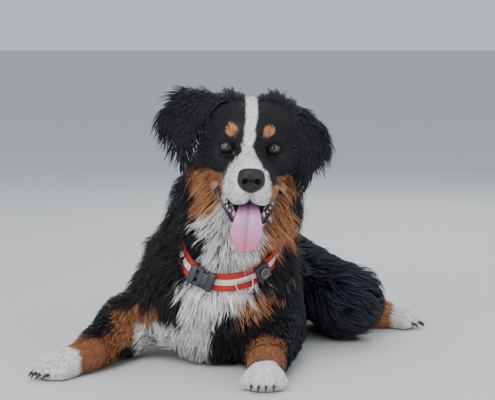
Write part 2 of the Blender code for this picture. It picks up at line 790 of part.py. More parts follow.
BUCKLE_AT, BUCKLE_SIZE = -0.0220, (0.050, 0.0110, 0.034)
SLIDER_AT, SLIDER_SIZE = 0.0775, (0.028, 0.0080, 0.030)
RING_AT, RING_RADIUS, RING_WIRE = 0.0470, 0.0170, 0.0016
DISC_RADIUS, DISC_THICK = 0.0085, 0.0022


def add_collar(parts):
    count = 36
    ring, along, up, out = collar_frame(count)
    corners = []
    for high, thick in ((-0.5, 0.0), (0.5, 0.0), (0.5, 1.0), (-0.5, 1.0)):
        corners.append(ring + high * COLLAR_HIGH * up + thick * COLLAR_THICK * out)
    faces = []
    for k in range(count):
        j = (k + 1) % count
        for c in range(4):
            d = (c + 1) % 4
            faces.append((c * count + k, d * count + k, d * count + j, c * count + j))
    strap = make("collar_strap", np.concatenate(corners), faces)
    lift = COLLAR_THICK + GAP
    buckle = rounded_box("collar_buckle", BUCKLE_SIZE, 0.0025, (0.0, lift + BUCKLE_SIZE[1] / 2, 0.0))
    buckle.data.transform(collar_at(BUCKLE_AT))
    slider = rounded_box("collar_slider", SLIDER_SIZE, 0.0020, (0.0, lift + SLIDER_SIZE[1] / 2, 0.0))
    slider.data.transform(collar_at(SLIDER_AT))
    disc = loft(
        "collar_disc",
        [(0.0, y, 0.0) for y in (0.0, 0.0001, DISC_THICK - 0.0004, DISC_THICK)],
        [(1.0, 0.0, 0.0)] * 4,
        [DISC_RADIUS * 0.96, DISC_RADIUS, DISC_RADIUS, DISC_RADIUS * 0.92],
        [DISC_RADIUS * 0.96, DISC_RADIUS, DISC_RADIUS, DISC_RADIUS * 0.92],
        0.0,
        16,
    )
    disc.data.transform(collar_at(SLIDER_AT) @ Matrix.Translation((0.0, lift + SLIDER_SIZE[1] + GAP, 0.0)))
    loop = ring_loft(collar_at(RING_AT) @ Matrix.Translation((0.0, lift + 0.0030, -0.006)))
    for made in (strap, buckle, slider, disc, loop):
        parts[made.name] = made
    clear_of(buckle, strap)
    clear_of(slider, strap)


def ring_loft(place):
    """The D-ring's round wire: a closed loop of round sections, hanging from the strap."""
    turns = 20
    sides = 6
    points = []
    for k in range(turns):
        a = 2 * pi * k / turns
        x, z = cos(a), sin(a)
        z = min(z, 0.25)
        centre = np.array((RING_RADIUS * x * 0.9, 0.0, RING_RADIUS * z))
        outward = np.array((x, 0.0, sin(a)))
        for s in range(sides):
            b = 2 * pi * s / sides
            points.append(centre + RING_WIRE * (cos(b) * outward + sin(b) * np.array((0.0, 1.0, 0.0))))
    faces = []
    for k in range(turns):
        for s in range(sides):
            a, b = k * sides, (k + 1) % turns * sides
            t = (s + 1) % sides
            faces.append((a + s, b + s, b + t, a + t))
    made = make("collar_ring", points, faces)
    made.data.transform(place)
    return made


# A lock's own outline from root to tip: how far along, how high in its rise, how wide, how thick.
LOCK_ALONG = (0.00, 0.32, 0.68, 1.00)
LOCK_WIDE = (0.75, 1.00, 0.85, 0.00)
LOCK_THICK = (0.90, 1.00, 0.75, 0.00)
LOCK_SINK = 0.010
LOCK_LIFT = 0.002
FLOOR_CLEAR = 0.0015

# For each part: the way its coat lies, the space between roots, a lock's length, its half
# width, its thickness and how high its tip stands over the core.
LOCKS = {
    "neck": ((0.0, 0.30, -1.0), 0.042, 0.096, 0.023, 0.0070, 0.015),
    "chest": ((0.0, 0.25, -1.0), 0.044, 0.092, 0.023, 0.0065, 0.013),
    "torso": ((0.0, 0.80, -0.65), 0.057, 0.125, 0.028, 0.0070, 0.013),
    "tail": ((-0.35, 0.90, -0.10), 0.050, 0.105, 0.023, 0.0060, 0.022),
    "hindleg_left": ((0.15, 0.55, -0.85), 0.055, 0.100, 0.026, 0.0065, 0.012),
    "hindleg_right": ((-0.15, 0.70, -0.70), 0.050, 0.085, 0.023, 0.0060, 0.010),
    "foreleg_left": ((0.20, 0.55, -0.80), 0.061, 0.066, 0.019, 0.0050, 0.008),
    "foreleg_right": ((-0.10, 0.75, -0.65), 0.061, 0.066, 0.019, 0.0050, 0.008),
    "head": ((0.0, 0.45, -0.90), 0.043, 0.058, 0.017, 0.0045, 0.010),
}


def lock(points, ups, half_width, thickness, hugs=True):
    """A flat tapered lock along a bent line, ridged above, its edges drawn down to the core.

    None where the floor or a fold would turn a section of it inside out.
    """
    points, ups = rows(points), rows(ups)
    along = np.gradient(points, axis=0)
    across = np.cross(along, ups)
    across /= np.linalg.norm(across, axis=1)[:, None]
    wide = (np.array(LOCK_WIDE) * half_width)[:, None]
    thick = (np.array(LOCK_THICK) * thickness)[:, None]
    edges = []
    for side in (-1, 1):
        edge = points + side * wide * across
        if hugs:
            drop = np.clip(core(edge) - core(points), -0.008, 0.012)
            edge = edge - (0.8 * drop)[:, None] * ups
        edge[:, 2] = np.maximum(edge[:, 2], FLOOR_CLEAR + 0.6 * thick[:, 0])
        edges.append(edge)
    ridge = points + thick * ups
    ridge[:, 2] = np.maximum(ridge[:, 2], FLOOR_CLEAR)
    if not sound(np.stack([edges[0], ridge, edges[1]], 1)[:-1], points, ups):
        return None
    last = 3 * (len(points) - 1)
    corners = np.stack([edges[0], ridge, edges[1]], 1).reshape(-1, 3)[:last]
    faces = [(0, 1, 2), (last, last - 2, last - 3), (last, last - 1, last - 2)]
    faces.append((last, last - 3, last - 1))
    for ring in range(0, last - 3, 3):
        for side in range(3):
            other = (side + 1) % 3
            faces.append((ring + side, ring + 3 + side, ring + other))
            faces.append((ring + other, ring + 3 + side, ring + 3 + other))
    return make("lock", [*corners, points[-1]], faces)


def sound(rings, points, ups):
    """Whether a lock's ridge stays over its edges and no section turns back over the last."""
    over = np.sum((rings[:, 1] - rings[:, ::2].mean(1)) * ups[:-1], axis=1)
    step = np.diff(points, axis=0)[: len(rings) - 1]
    moves = np.diff(rings, axis=0)
    ahead = np.sum(moves * step[:, None, :], axis=2) / np.sum(step**2, axis=1)[:, None]
    return over.min() > 0.0012 and ahead.min() > 0.15


def laid_line(root, way, length, rise, bend):
    """A lock's line: out of the core at its root, then over the core along the lie, rising."""
    point, slope = np.array(root), core_slope(rows(root))[0]
    points, ups = [], []
    ahead = np.array(way) / np.linalg.norm(way)
    for k, share in enumerate(LOCK_ALONG):
        hold = 1.0
        if k:
            wish = np.array(way) / np.linalg.norm(way) + bend * k * np.cross(slope, ahead)
            level = wish - np.dot(wish, slope) * slope
            hold = np.clip(2.5 * np.linalg.norm(level) - 0.6, 0.0, 1.0)
            wish = hold * level / max(np.linalg.norm(level), 1e-6) + (1.0 - hold) * ahead
            ahead = wish / np.linalg.norm(wish)
            point = point + ahead * length * (share - LOCK_ALONG[k - 1])
            if hold > 0.5:
                slope = core_slope(rows(point))[0]
        height = -LOCK_SINK if k == 0 else LOCK_LIFT + rise * share**1.3
        point = point + hold * (height - core(rows(point))[0]) * slope
        point[2] = max(point[2], FLOOR_CLEAR + 0.002 * (len(LOCK_ALONG) - k))
        points.append(point)
        ups.append(slope)
    return points, ups


def roots_on(made, rng, spacing, taken):
    """Points spread over a part's coat, none nearer to another than the spacing."""
    mesh = made.data
    mesh.calc_loop_triangles()
    corners = np.array([[mesh.vertices[i].co for i in face.vertices] for face in mesh.loop_triangles])
    area = np.array([face.area for face in mesh.loop_triangles])
    pick = rng.choice(len(area), 2600, p=area / area.sum())
    a, b = rng.random((2, len(pick), 1))
    a, b = np.where(a + b > 1.0, 1.0 - a, a), np.where(a + b > 1.0, 1.0 - b, b)
    first, second, third = corners[pick, 0], corners[pick, 1], corners[pick, 2]
    points = first + a * (second - first) + b * (third - first)
    on_coat = (np.abs(core(points)) < 0.003) & (points[:, 2] > 0.016)
    chosen = []
    for point in points[on_coat]:
        if all(np.linalg.norm(point - other) > spacing for other in taken):
            taken.append(point)
            chosen.append(point)
    return chosen


# The parts in the order in which their locks are grown: where two would cross, the part named
# first keeps its own, and the later one's is bent clear, made shorter or left out.
IN_FRONT = """ear_left ear_right head neck chest foreleg_left foreleg_right hindleg_left torso
    hindleg_right tail""".split()

# What a lock is tried as until it is clear of the other parts: the share of its length, and the
# height added to its rise.
TRIES = ((1.0, 0.0), (0.85, 0.003), (1.0, 0.008), (0.70, 0.003), (0.60, 0.010))


def faces_of(made):
    """A tree of the object's faces, to find what touches it."""
    shape = bmesh.new()
    shape.from_mesh(made.data)
    tree = BVHTree.FromBMesh(shape)
    shape.free()
    return tree


def stays_closed(made):
    """Whether the surface is one closed shell, also with its near points merged."""
    for near in (0.0, 2e-7, 1e-6):
        shape = bmesh.new()
        shape.from_mesh(made.data)
        bmesh.ops.triangulate(shape, faces=shape.faces)
        if near:
            bmesh.ops.remove_doubles(shape, verts=shape.verts, dist=near)
        closed = all(len(edge.link_faces) == 2 for edge in shape.edges)
        seen = set()
        if closed:
            shape.faces.ensure_lookup_table()
            ahead = [shape.faces[0]]
            seen.add(0)
            while ahead:
                for edge in ahead.pop().edges:
                    for face in edge.link_faces:
                        if face.index not in seen:
                            seen.add(face.index)
                            ahead.append(face)
        whole = closed and len(seen) == len(shape.faces)
        shape.free()
        if not whole:
            return False
    return True


# For each lock of an ear's fringe: the step down the leaf, its place across it from the back
# edge (+) to the front edge (-), the way it points in the ear's frame, and its length.
FRINGE = (
    (3, 0.60, (0.90, 0.35, -0.10), 0.042),
    (4, 0.60, (0.90, 0.40, -0.45), 0.044),
    (5, 0.55, (0.70, 0.45, -0.75), 0.046),
    (6, 0.50, (0.45, 0.40, -1.00), 0.042),
    (7, 0.20, (0.15, 0.15, -1.00), 0.034),
    (5, -0.50, (-0.35, -0.30, -0.90), 0.036),
)


def locks_of(name, made, rng, taken):
    """For each lock of one part, the lines, sizes and fit that it can be tried with."""
    if name in EAR_SIDE:
        return fringe(rng, name)
    way, spacing, length, half_width, thickness, rise = LOCKS[name]
    locks = []
    for root in roots_on(made, rng, spacing, taken):
        if name == "head" and not has_long_hair(root):
            continue
        if name == "tail":
            way = plume_way(root)
        size = rng.uniform(0.85, 1.15)
        bend = rng.uniform(-0.10, 0.10)
        stand = rise * rng.uniform(0.6, 1.1)
        lines = [laid_line(root, way, length * size * share, stand + more, bend) for share, more in TRIES]
        locks.append([(*line, half_width * size, thickness, True) for line in lines])
    return locks


def touches(made, trees):
    """Whether the object, which is used up, touches any of the trees."""
    tree = faces_of(made)
    bpy.data.objects.remove(made, do_unlink=True)
    return any(tree.overlap(other) for other in trees)


def fused(made, grown):
    """Joins a lock to its part if that leaves one closed surface."""
    before = made.data
    made.data = before.copy()
    combine(made, "UNION", [grown])
    keep_largest(made)
    if stays_closed(made):
        return True
    made.data = before
    return False


def grow_coat(parts):
    """Each part's locks are fused with it one by one, where they are clear of all other parts."""
    taken = []
    trees = {name: faces_of(made) for name, made in parts.items()}
    for place, name in enumerate(IN_FRONT):
        made = parts[name]
        others = [tree for other, tree in trees.items() if other != name]
        for shapes in locks_of(name, made, np.random.default_rng(place), taken):
            for points, ups, half_width, thickness, hugs in shapes:
                lower = np.array(points) - GAP * np.array(ups)
                outer = lock(lower, ups, half_width + GAP, thickness + 2 * GAP, hugs)
                if not outer or touches(outer, others):
                    continue
                grown = lock(points, ups, half_width, thickness, hugs)
                if grown and fused(made, grown):
                    break
        trees[name] = faces_of(made)


def fringe(rng, name):
    """Locks along the edges of an ear's leaf, each from a place on the leaf outward and down."""
    path, across = ear_points(name)
    side = EAR_SIDE[name]
    locks = []
    for step, place, way, length in FRINGE:
        flip = np.array((side, 1.0, 1.0))
        ahead = np.array(way) * flip
        ahead /= np.linalg.norm(ahead)
        along = path[step + 1] - path[step] if step + 1 < len(path) else path[step] - path[step - 1]
        out = np.cross(across[step], along) * side
        out /= np.linalg.norm(out)
        start = path[step] + 0.030 * place * across[step]
        share = np.array(LOCK_ALONG)[:, None]
        size = rng.uniform(0.85, 1.15)
        line = start + share * size * length * ahead + out * (0.001 + 0.002 * share)
        line[:, 2] -= 0.010 * share[:, 0] ** 2
        ups = np.repeat(rows(out), len(line), 0)
        locks.append([(from_head(line), ups @ HEAD_SPIN.T, 0.0125 * size, 0.0038, False)])
    return locks


def plume_way(root):
    """Along the tail towards its tip, and out to each side of it."""
    joints = np.array((TAIL_ROOT, TAIL_BEND, TAIL_LAID, TAIL_TIP))
    nearest = int(np.argmin(np.linalg.norm((joints[1:] + joints[:-1]) / 2 - root, axis=1)))
    along = joints[nearest + 1] - joints[nearest]
    return along / np.linalg.norm(along) + 0.55 * core_slope(rows(root))[0] * (1.0, 1.0, 0.4)


def has_long_hair(point):
    """Not the face: the top of the head behind the brow, the cheeks and the nape."""
    q = to_head(point)[0]
    return q[1] > 0.030 and (q[2] > 0.045 or q[2] < 0.010 or q[1] > 0.110)


BLACK, WHITE, RUST = (0.016, 0.015, 0.019), (0.80, 0.78, 0.76), (0.30, 0.12, 0.045)
LOOKS = {
    "coat_black": (BLACK, 0.60, 0.0),
    "coat_white": (WHITE, 0.70, 0.0),
    "coat_rust": (RUST, 0.65, 0.0),
    "eye": ((0.09, 0.035, 0.015), 0.05, 0.0),
    "nose_leather": ((0.014, 0.014, 0.018), 0.35, 0.0),
    "tongue": ((0.62, 0.30, 0.36), 0.30, 0.0),
    "webbing": ((0.50, 0.025, 0.022), 0.75, 0.0),
    "collar_plastic": ((0.020, 0.020, 0.024), 0.40, 0.0),
    "steel": ((0.60, 0.58, 0.55), 0.25, 1.0),
}
LOOK_OF = {
    "eye_left": "eye",
    "eye_right": "eye",
    "nose": "nose_leather",
    "tongue": "tongue",
    "collar_strap": "webbing",
    "collar_buckle": "collar_plastic",
    "collar_slider": "collar_plastic",
    "collar_disc": "collar_plastic",
    "collar_ring": "steel",
    "foreleg_left": "coat_rust",
    "foreleg_right": "coat_rust",
    "paw_front_left": "coat_white",
    "paw_front_right": "coat_white",
    "paw_hind_left": "coat_white",
    "paw_hind_right": "coat_white",
}


def paint(made, look):
    colour, roughness, metallic = LOOKS[look]
    material = bpy.data.materials.get(look) or bpy.data.materials.new(look)
    material.use_nodes = True
    shader = material.node_tree.nodes["Principled BSDF"]
    shader.inputs["Base Color"].default_value = (*colour, 1.0)
    shader.inputs["Roughness"].default_value = roughness
    shader.inputs["Metallic"].default_value = metallic
    made.data.materials.clear()
    made.data.materials.append(material)


def build():
    parts = flesh_parts()
    add_eyes(parts)
    add_nose(parts)
    add_tongue(parts)
    add_ears(parts)
    add_collar(parts)
    grow_coat(parts)
    for name, made in parts.items():
        made.name = name
        paint(made, LOOK_OF.get(name, "coat_black"))
        made.data.shade_smooth()
        made.data.set_sharp_from_angle(angle=radians(35))


for existing in list(bpy.data.objects):
    bpy.data.objects.remove(existing)
build()
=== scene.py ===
"""Bernese mountain dog lying on the floor with its head up: a still model, life size."""

from math import cos, pi, radians, sin

import bmesh
import bpy
import numpy as np
from mathutils import Euler, Matrix, Vector
from mathutils.kdtree import KDTree


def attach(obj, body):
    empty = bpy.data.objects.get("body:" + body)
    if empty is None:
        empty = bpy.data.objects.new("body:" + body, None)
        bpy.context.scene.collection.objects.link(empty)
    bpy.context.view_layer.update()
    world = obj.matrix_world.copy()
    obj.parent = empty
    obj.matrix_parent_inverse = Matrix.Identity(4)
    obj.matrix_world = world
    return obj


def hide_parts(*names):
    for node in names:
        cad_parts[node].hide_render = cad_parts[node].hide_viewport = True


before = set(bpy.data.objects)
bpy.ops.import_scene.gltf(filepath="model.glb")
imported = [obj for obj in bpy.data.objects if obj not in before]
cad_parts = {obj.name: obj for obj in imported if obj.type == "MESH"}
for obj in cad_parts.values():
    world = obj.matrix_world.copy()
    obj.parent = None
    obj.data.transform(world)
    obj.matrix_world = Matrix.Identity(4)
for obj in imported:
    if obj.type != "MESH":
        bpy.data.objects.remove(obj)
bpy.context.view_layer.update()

# ---------------------------------------------------------------------------------------------
# The skin. One closed hide of flesh from the nose to the tip of the tail, moulded over the
# joints of a lying dog. It is a smooth field of distances, drawn fine on the head and coarser
# on the body, where long hair covers it. The two nets meet under the ruff.

FORECHEST = (0.005, -0.095, 0.112)
CHEST = (0.000, 0.005, 0.118)
RIBS = (0.033, 0.150, 0.122)
LOIN = (0.055, 0.290, 0.098)
RUMP = (0.067, 0.385, 0.092)
NECK_BASE = (0.007, -0.015, 0.185)
NECK_MID = (0.033, -0.065, 0.270)
NECK_TOP = (0.051, -0.098, 0.340)
THROAT = (0.030, -0.110, 0.215)

SHOULDER_LEFT = (0.090, -0.070, 0.120)
ELBOW_LEFT = (0.103, -0.045, 0.050)
FOREARM_LEFT = (0.095, -0.130, 0.052)
WRIST_LEFT = (0.089, -0.265, 0.032)
PAW_FRONT_LEFT = (0.083, -0.332, 0.016)

SHOULDER_RIGHT = (-0.082, -0.060, 0.120)
ELBOW_RIGHT = (-0.167, -0.050, 0.058)
WRIST_RIGHT = (-0.225, -0.192, 0.032)
PAW_FRONT_RIGHT = (-0.275, -0.242, 0.016)

HIP_LEFT = (0.120, 0.330, 0.110)
KNEE_LEFT = (0.247, 0.115, 0.078)
HOCK_LEFT = (0.225, 0.282, 0.036)
INSTEP_LEFT = (0.310, 0.252, 0.030)
PAW_HIND_LEFT = (0.367, 0.238, 0.016)

HIP_RIGHT = (0.010, 0.350, 0.080)
KNEE_RIGHT = (-0.070, 0.175, 0.062)
HOCK_RIGHT = (-0.063, 0.355, 0.030)
INSTEP_RIGHT = (-0.085, 0.240, 0.024)
PAW_HIND_RIGHT = (-0.095, 0.162, 0.016)

TAIL_ROOT = (0.070, 0.460, 0.080)
TAIL_BEND = (0.060, 0.550, 0.036)
TAIL_LAID = (0.000, 0.660, 0.030)
TAIL_TIP = (-0.095, 0.740, 0.026)

# The head's own frame has its origin midway between the eyes, and the muzzle runs along -Y.
HEAD_AT = (0.060, -0.200, 0.397)
HEAD_TURN = (radians(8.0), radians(2.5), radians(2.0))
EYE_HALF_SPACING = 0.0400
EYE_RADIUS = 0.0118
EYE_SET_BACK = 0.0010


def rows(points):
    return np.asarray(points, dtype=float).reshape(-1, 3)


def unit(v):
    return v / np.maximum(np.linalg.norm(v, axis=1), 1e-9)[:, None]


def smooth_min(a, b, blend):
    h = np.clip(0.5 + 0.5 * (b - a) / blend, 0.0, 1.0)
    return b + (a - b) * h - blend * h * (1.0 - h)


def smooth_max(a, b, blend):
    return -smooth_min(-a, -b, blend)


def ellipsoid(p, centre, radii, turn=(0.0, 0.0, 0.0)):
    """Distance to an ellipsoid that is turned about its own centre."""
    spin = np.array(Euler(turn).to_matrix())
    q = (p - np.array(centre)) @ spin
    near = np.linalg.norm(q / np.array(radii), axis=1)
    slope = np.linalg.norm(q / np.array(radii) ** 2, axis=1)
    return near * (near - 1.0) / np.maximum(slope, 1e-9)


def cone(p, start, end, start_radius, end_radius, flat=1.0):
    """Distance to a round cone; flat below 1 makes it lower than it is wide."""
    squash = np.array((1.0, 1.0, 1.0 / flat))
    a, b, q = np.array(start) * squash, np.array(end) * squash, p * squash
    along = b - a
    t = np.clip((q - a) @ along / (along @ along), 0.0, 1.0)
    gap = np.linalg.norm(q - a - t[:, None] * along, axis=1)
    return (gap - start_radius - t * (end_radius - start_radius)) * flat


def joined(distances, blend):
    total = distances[0]
    for distance in distances[1:]:
        total = smooth_min(total, distance, blend)
    return total


def moulded(p, blend, *forms):
    """Forms joined: an ellipsoid is its centre and radii, a cone its two ends and their radii."""
    return joined([(ellipsoid if len(form) == 2 else cone)(p, *form) for form in forms], blend)


def trunk(p):
    return moulded(
        p, 0.05, (CHEST, (0.108, 0.140, 0.112)), (FORECHEST, (0.082, 0.070, 0.094)),
        (RIBS, (0.114, 0.160, 0.098)), (LOIN, (0.092, 0.125, 0.080)), (RUMP, (0.092, 0.090, 0.080)),
    )


def neck(p):
    return moulded(
        p, 0.03, (NECK_BASE, NECK_MID, 0.086, 0.074), (NECK_MID, NECK_TOP, 0.080, 0.078),
        (FORECHEST, THROAT, 0.068, 0.060), (THROAT, NECK_TOP, 0.060, 0.048),
    )


def foreleg_left(p):
    return moulded(
        p, 0.025, (SHOULDER_LEFT, (0.050, 0.080, 0.085)), (SHOULDER_LEFT, ELBOW_LEFT, 0.050, 0.046),
        (ELBOW_LEFT, FOREARM_LEFT, 0.046, 0.044), (FOREARM_LEFT, WRIST_LEFT, 0.044, 0.029),
    )


def foreleg_right(p):
    return moulded(
        p, 0.03, (SHOULDER_RIGHT, (0.050, 0.076, 0.086)),
        (SHOULDER_RIGHT, ELBOW_RIGHT, 0.052, 0.042), (ELBOW_RIGHT, WRIST_RIGHT, 0.038, 0.026),
    )


def hindleg_left(p):
    return moulded(
        p, 0.03, (HIP_LEFT, KNEE_LEFT, 0.070, 0.050), (KNEE_LEFT, HOCK_LEFT, 0.044, 0.028),
        (HOCK_LEFT, INSTEP_LEFT, 0.028, 0.024),
    )


def hindleg_right(p):
    return moulded(
        p, 0.03, (HIP_RIGHT, KNEE_RIGHT, 0.072, 0.050), (KNEE_RIGHT, HOCK_RIGHT, 0.044, 0.028),
        (HOCK_RIGHT, INSTEP_RIGHT, 0.026, 0.022),
    )


def tail(p):
    return moulded(
        p, 0.02, (RUMP, TAIL_ROOT, 0.050, 0.030), (TAIL_ROOT, TAIL_BEND, 0.030, 0.024),
        (TAIL_BEND, TAIL_LAID, 0.024, 0.020), (TAIL_LAID, TAIL_TIP, 0.020, 0.010),
    )


# Each foot's ankle, toes and width, and its four toes' places across it, reach and height.
FEET = {
    "paw_front_left": (WRIST_LEFT, PAW_FRONT_LEFT, 0.082),
    "paw_front_right": (WRIST_RIGHT, PAW_FRONT_RIGHT, 0.080),
    "paw_hind_left": (INSTEP_LEFT, PAW_HIND_LEFT, 0.066),
    "paw_hind_right": (INSTEP_RIGHT, PAW_HIND_RIGHT, 0.066),
}
FOUR_TOES = ((-0.33, 0.16, 0.25), (-0.12, 0.34, 0.30), (0.12, 0.34, 0.30), (0.33, 0.16, 0.25))


def heading(ankle, toes):
    """The level way from an ankle to its toes, and the way across it."""
    ahead = (np.array(toes) - np.array(ankle)) * (1.0, 1.0, 0.0)
    ahead = ahead / np.linalg.norm(ahead)
    return ahead, np.array((-ahead[1], ahead[0], 0.0))


def foot(p, ankle, toes, width):
    """A paw: a rounded body with four toes side by side, pointing from the ankle outwards."""
    ahead, across = heading(ankle, toes)
    body = cone(p, ankle, toes, width * 0.36, width * 0.40, 0.85)
    for place, reach, height in FOUR_TOES:
        tip = toes + across * place * width + ahead * reach * width
        tip[2] = height * width * 0.72
        back = toes + across * place * width * 0.8
        back[2] = tip[2] * 1.25
        toe = cone(p, back, tip, width * 0.17, width * 0.155, 0.95)
        body = smooth_min(body, toe, width * 0.07)
    return body


def feet(p):
    return [foot(p, *size) for size in FEET.values()]


HEAD_SPIN = np.array(Euler(HEAD_TURN, "XZY").to_matrix())


def to_head(p):
    return (rows(p) - np.array(HEAD_AT)) @ HEAD_SPIN


def from_head(p):
    return rows(p) @ HEAD_SPIN.T + np.array(HEAD_AT)


def folded(p):
    """Points in the head's frame, with its right side laid on its left."""
    q = to_head(p)
    return np.column_stack((np.abs(q[:, 0]), q[:, 1], q[:, 2]))


def mouth_forms(q):
    """The hollow of the open mouth, and the notch at its corner."""
    turn = (radians(22), 0.0, radians(14))
    hollow = cone(q, (0.016, 0.000, -0.072), (0.011, -0.100, -0.098), 0.011, 0.021, 0.75)
    return hollow, ellipsoid(q, (0.037, -0.031, -0.081), (0.024, 0.034, 0.0100), turn)


def head(p):
    """The head with its mouth open, in the world's frame; its two sides are alike."""
    q = folded(p)
    skull = ellipsoid(q, (0.0, 0.062, 0.010), (0.070, 0.083, 0.060))
    brow = ellipsoid(q, (0.0, 0.024, 0.027), (0.056, 0.040, 0.033))
    slant, drop = (0.0, radians(12), 0.0), (radians(-6), 0.0, radians(12))
    ridge = ellipsoid(q, (0.034, 0.004, 0.019), (0.020, 0.013, 0.009), slant)
    cheek = ellipsoid(q, (0.048, 0.034, -0.024), (0.030, 0.052, 0.036))
    temple = ellipsoid(q, (0.040, 0.070, 0.032), (0.036, 0.050, 0.036))
    bridge = cone(q, (0.0, 0.006, -0.008), (0.0, -0.086, -0.026), 0.030, 0.0205)
    side = cone(q, (0.022, 0.000, -0.036), (0.013, -0.076, -0.042), 0.026, 0.024)
    flew = ellipsoid(q, (0.030, -0.038, -0.060), (0.016, 0.046, 0.023), drop)
    pad = ellipsoid(q, (0.0185, -0.079, -0.060), (0.0200, 0.025, 0.0245))
    face = joined([skull, brow, cheek, temple], 0.025)
    face = smooth_min(face, ridge, 0.010)
    snout = smooth_min(smooth_min(bridge, side, 0.016), smooth_min(flew, pad, 0.012), 0.010)
    face = smooth_min(face, snout, 0.020)
    hollow = ellipsoid(q, (0.040, -0.016, -0.004), (0.016, 0.012, 0.012))
    face = smooth_max(face, -hollow, 0.012)
    jaw = cone(q, (0.026, 0.022, -0.080), (0.012, -0.060, -0.117), 0.024, 0.0135)
    chin = ellipsoid(q, (0.0, -0.064, -0.119), (0.022, 0.018, 0.012))
    lip = cone(q, (0.058, -0.004, -0.071), (0.026, -0.068, -0.112), 0.0075, 0.0055)
    lower = joined([jaw, chin], 0.012)
    lower = smooth_min(lower, lip, 0.008)
    under = ellipsoid(q, (0.0, 0.045, -0.062), (0.046, 0.055, 0.040))
    head_all = smooth_min(smooth_min(face, lower, 0.006), under, 0.020)
    hollow, corner = mouth_forms(q)
    return smooth_max(smooth_max(head_all, -hollow, 0.005), -corner, 0.004)


def body(p):
    """Distance to the whole skin."""
    p = rows(p)
    total = smooth_min(trunk(p), neck(p), 0.05)
    for limb in (foreleg_left, foreleg_right, hindleg_left, hindleg_right):
        total = smooth_min(total, limb(p), 0.022)
    for paw in feet(p):
        total = smooth_min(total, paw, 0.012)
    total = smooth_min(total, tail(p), 0.03)
    return smooth_min(total, head(p), 0.025)


def slope_of(field, p, step=0.0015):
    """The way out of a field's surface at each point, of length one."""
    slope = np.stack([field(p + step * axis) - field(p - step * axis) for axis in np.eye(3)], 1)
    return unit(slope)


def net(field, low, high, cell, block=4):
    """Points and quads of a field's surface: one point in each cell that the surface crosses."""
    low, high = np.array(low), np.array(high)
    count = np.ceil((high - low) / cell / block).astype(int) * block + 1
    axes = [low[i] + cell * np.arange(count[i]) for i in range(3)]
    rough = np.stack(np.meshgrid(*[a[::block] for a in axes], indexing="ij"), -1)
    rough = field(rough.reshape(-1, 3)).reshape([len(a[::block]) for a in axes])
    values = rough
    for axis in range(3):
        values = np.repeat(values, block, axis)
    values = values[: count[0], : count[1], : count[2]].copy()
    near = np.nonzero(np.abs(values) < cell * block * 2.1)
    values[near] = field(np.stack([axes[i][near[i]] for i in range(3)], 1))
    inside = values < 0
    n = np.array(inside.shape) - 1
    corners = [(i, j, k) for i in (0, 1) for j in (0, 1) for k in (0, 1)]
    total = sum(
        inside[i : n[0] + i, j : n[1] + j, k : n[2] + k].astype(np.int8) for i, j, k in corners
    )
    cells = np.stack(np.nonzero((total > 0) & (total < 8)), 1)
    sums, hits = np.zeros((len(cells), 3)), np.zeros(len(cells))
    for one in corners:
        for axis in range(3):
            if one[axis]:
                continue
            other = list(one)
            other[axis] = 1
            a, b = values[tuple((cells + one).T)], values[tuple((cells + other).T)]
            crossed = (a < 0) != (b < 0)
            t = np.where(crossed, a / np.where(crossed, a - b, 1.0), 0.0)
            place = np.array(one, float) + t[:, None] * (np.array(other) - np.array(one))
            sums += place * crossed[:, None]
            hits += crossed
    points = low + cell * (cells + sums / hits[:, None])
    index = np.full(n, -1)
    index[tuple(cells.T)] = np.arange(len(cells))
    quads = []
    for axis in range(3):
        u, v = (axis + 1) % 3, (axis + 2) % 3
        step = np.zeros(3, int)
        step[axis] = 1
        a = inside[: n[0], : n[1], : n[2]]
        b = inside[step[0] :, step[1] :, step[2] :][: n[0], : n[1], : n[2]]
        edges = np.stack(np.nonzero(a != b), 1)
        edges = edges[(edges[:, u] > 0) & (edges[:, v] > 0)]
        du, dv = np.eye(3, dtype=int)[u], np.eye(3, dtype=int)[v]
        around = [index[tuple((edges - x).T)] for x in (du + dv, dv, 0 * du, du)]
        four = np.stack(around, 1)
        flip = ~a[tuple(edges.T)]
        four[flip] = four[flip][:, ::-1]
        quads.append(four)
    quads = np.concatenate(quads)
    quads = quads[(quads >= 0).all(1)]
    for _ in range(2):
        points = points - np.clip(field(points), -cell, cell)[:, None] * slope_of(field, points)
    return points, quads


def added(name, data):
    """A new object of the scene."""
    made = bpy.data.objects.new(name, data)
    bpy.context.scene.collection.objects.link(made)
    return made


def mesh_object(name, points, faces, materials=(), smooth=True):
    """An object from arrays: points, and faces that all have the same number of corners."""
    points, faces = np.asarray(points, np.float32), np.asarray(faces, np.int32)
    mesh = bpy.data.meshes.new(name)
    mesh.vertices.add(len(points))
    mesh.vertices.foreach_set("co", points.ravel())
    mesh.loops.add(faces.size)
    mesh.loops.foreach_set("vertex_index", faces.ravel())
    mesh.polygons.add(len(faces))
    sides = faces.shape[1]
    mesh.polygons.foreach_set("loop_start", np.arange(0, faces.size, sides, dtype=np.int32))
    mesh.polygons.foreach_set("loop_total", np.full(len(faces), sides, np.int32))
    mesh.update(calc_edges=True)
    mesh.polygons.foreach_set("use_smooth", np.full(len(faces), smooth))
    for material in materials:
        mesh.materials.append(material)
    return added(name, mesh)


def colour_points(made, colours, name="ColourAndShade"):
    """Colours of the points, with painted shade in them where a piece has it, which the piece's
    material reads by this name.
    """
    layer = made.data.color_attributes.new(name, "FLOAT_COLOR", "POINT")
    four = np.ones((len(colours), 4), np.float32)
    four[:, :3] = colours
    layer.data.foreach_set("color", four.ravel())


def gauss(*terms):
    """A soft blob: 1 where every term is 0, falling off as the terms grow past 1."""
    return np.exp(-sum(term**2 for term in terms))


def ramp(x, start, end):
    t = np.clip((x - start) / (end - start), 0.0, 1.0)
    return t * t * (3.0 - 2.0 * t)


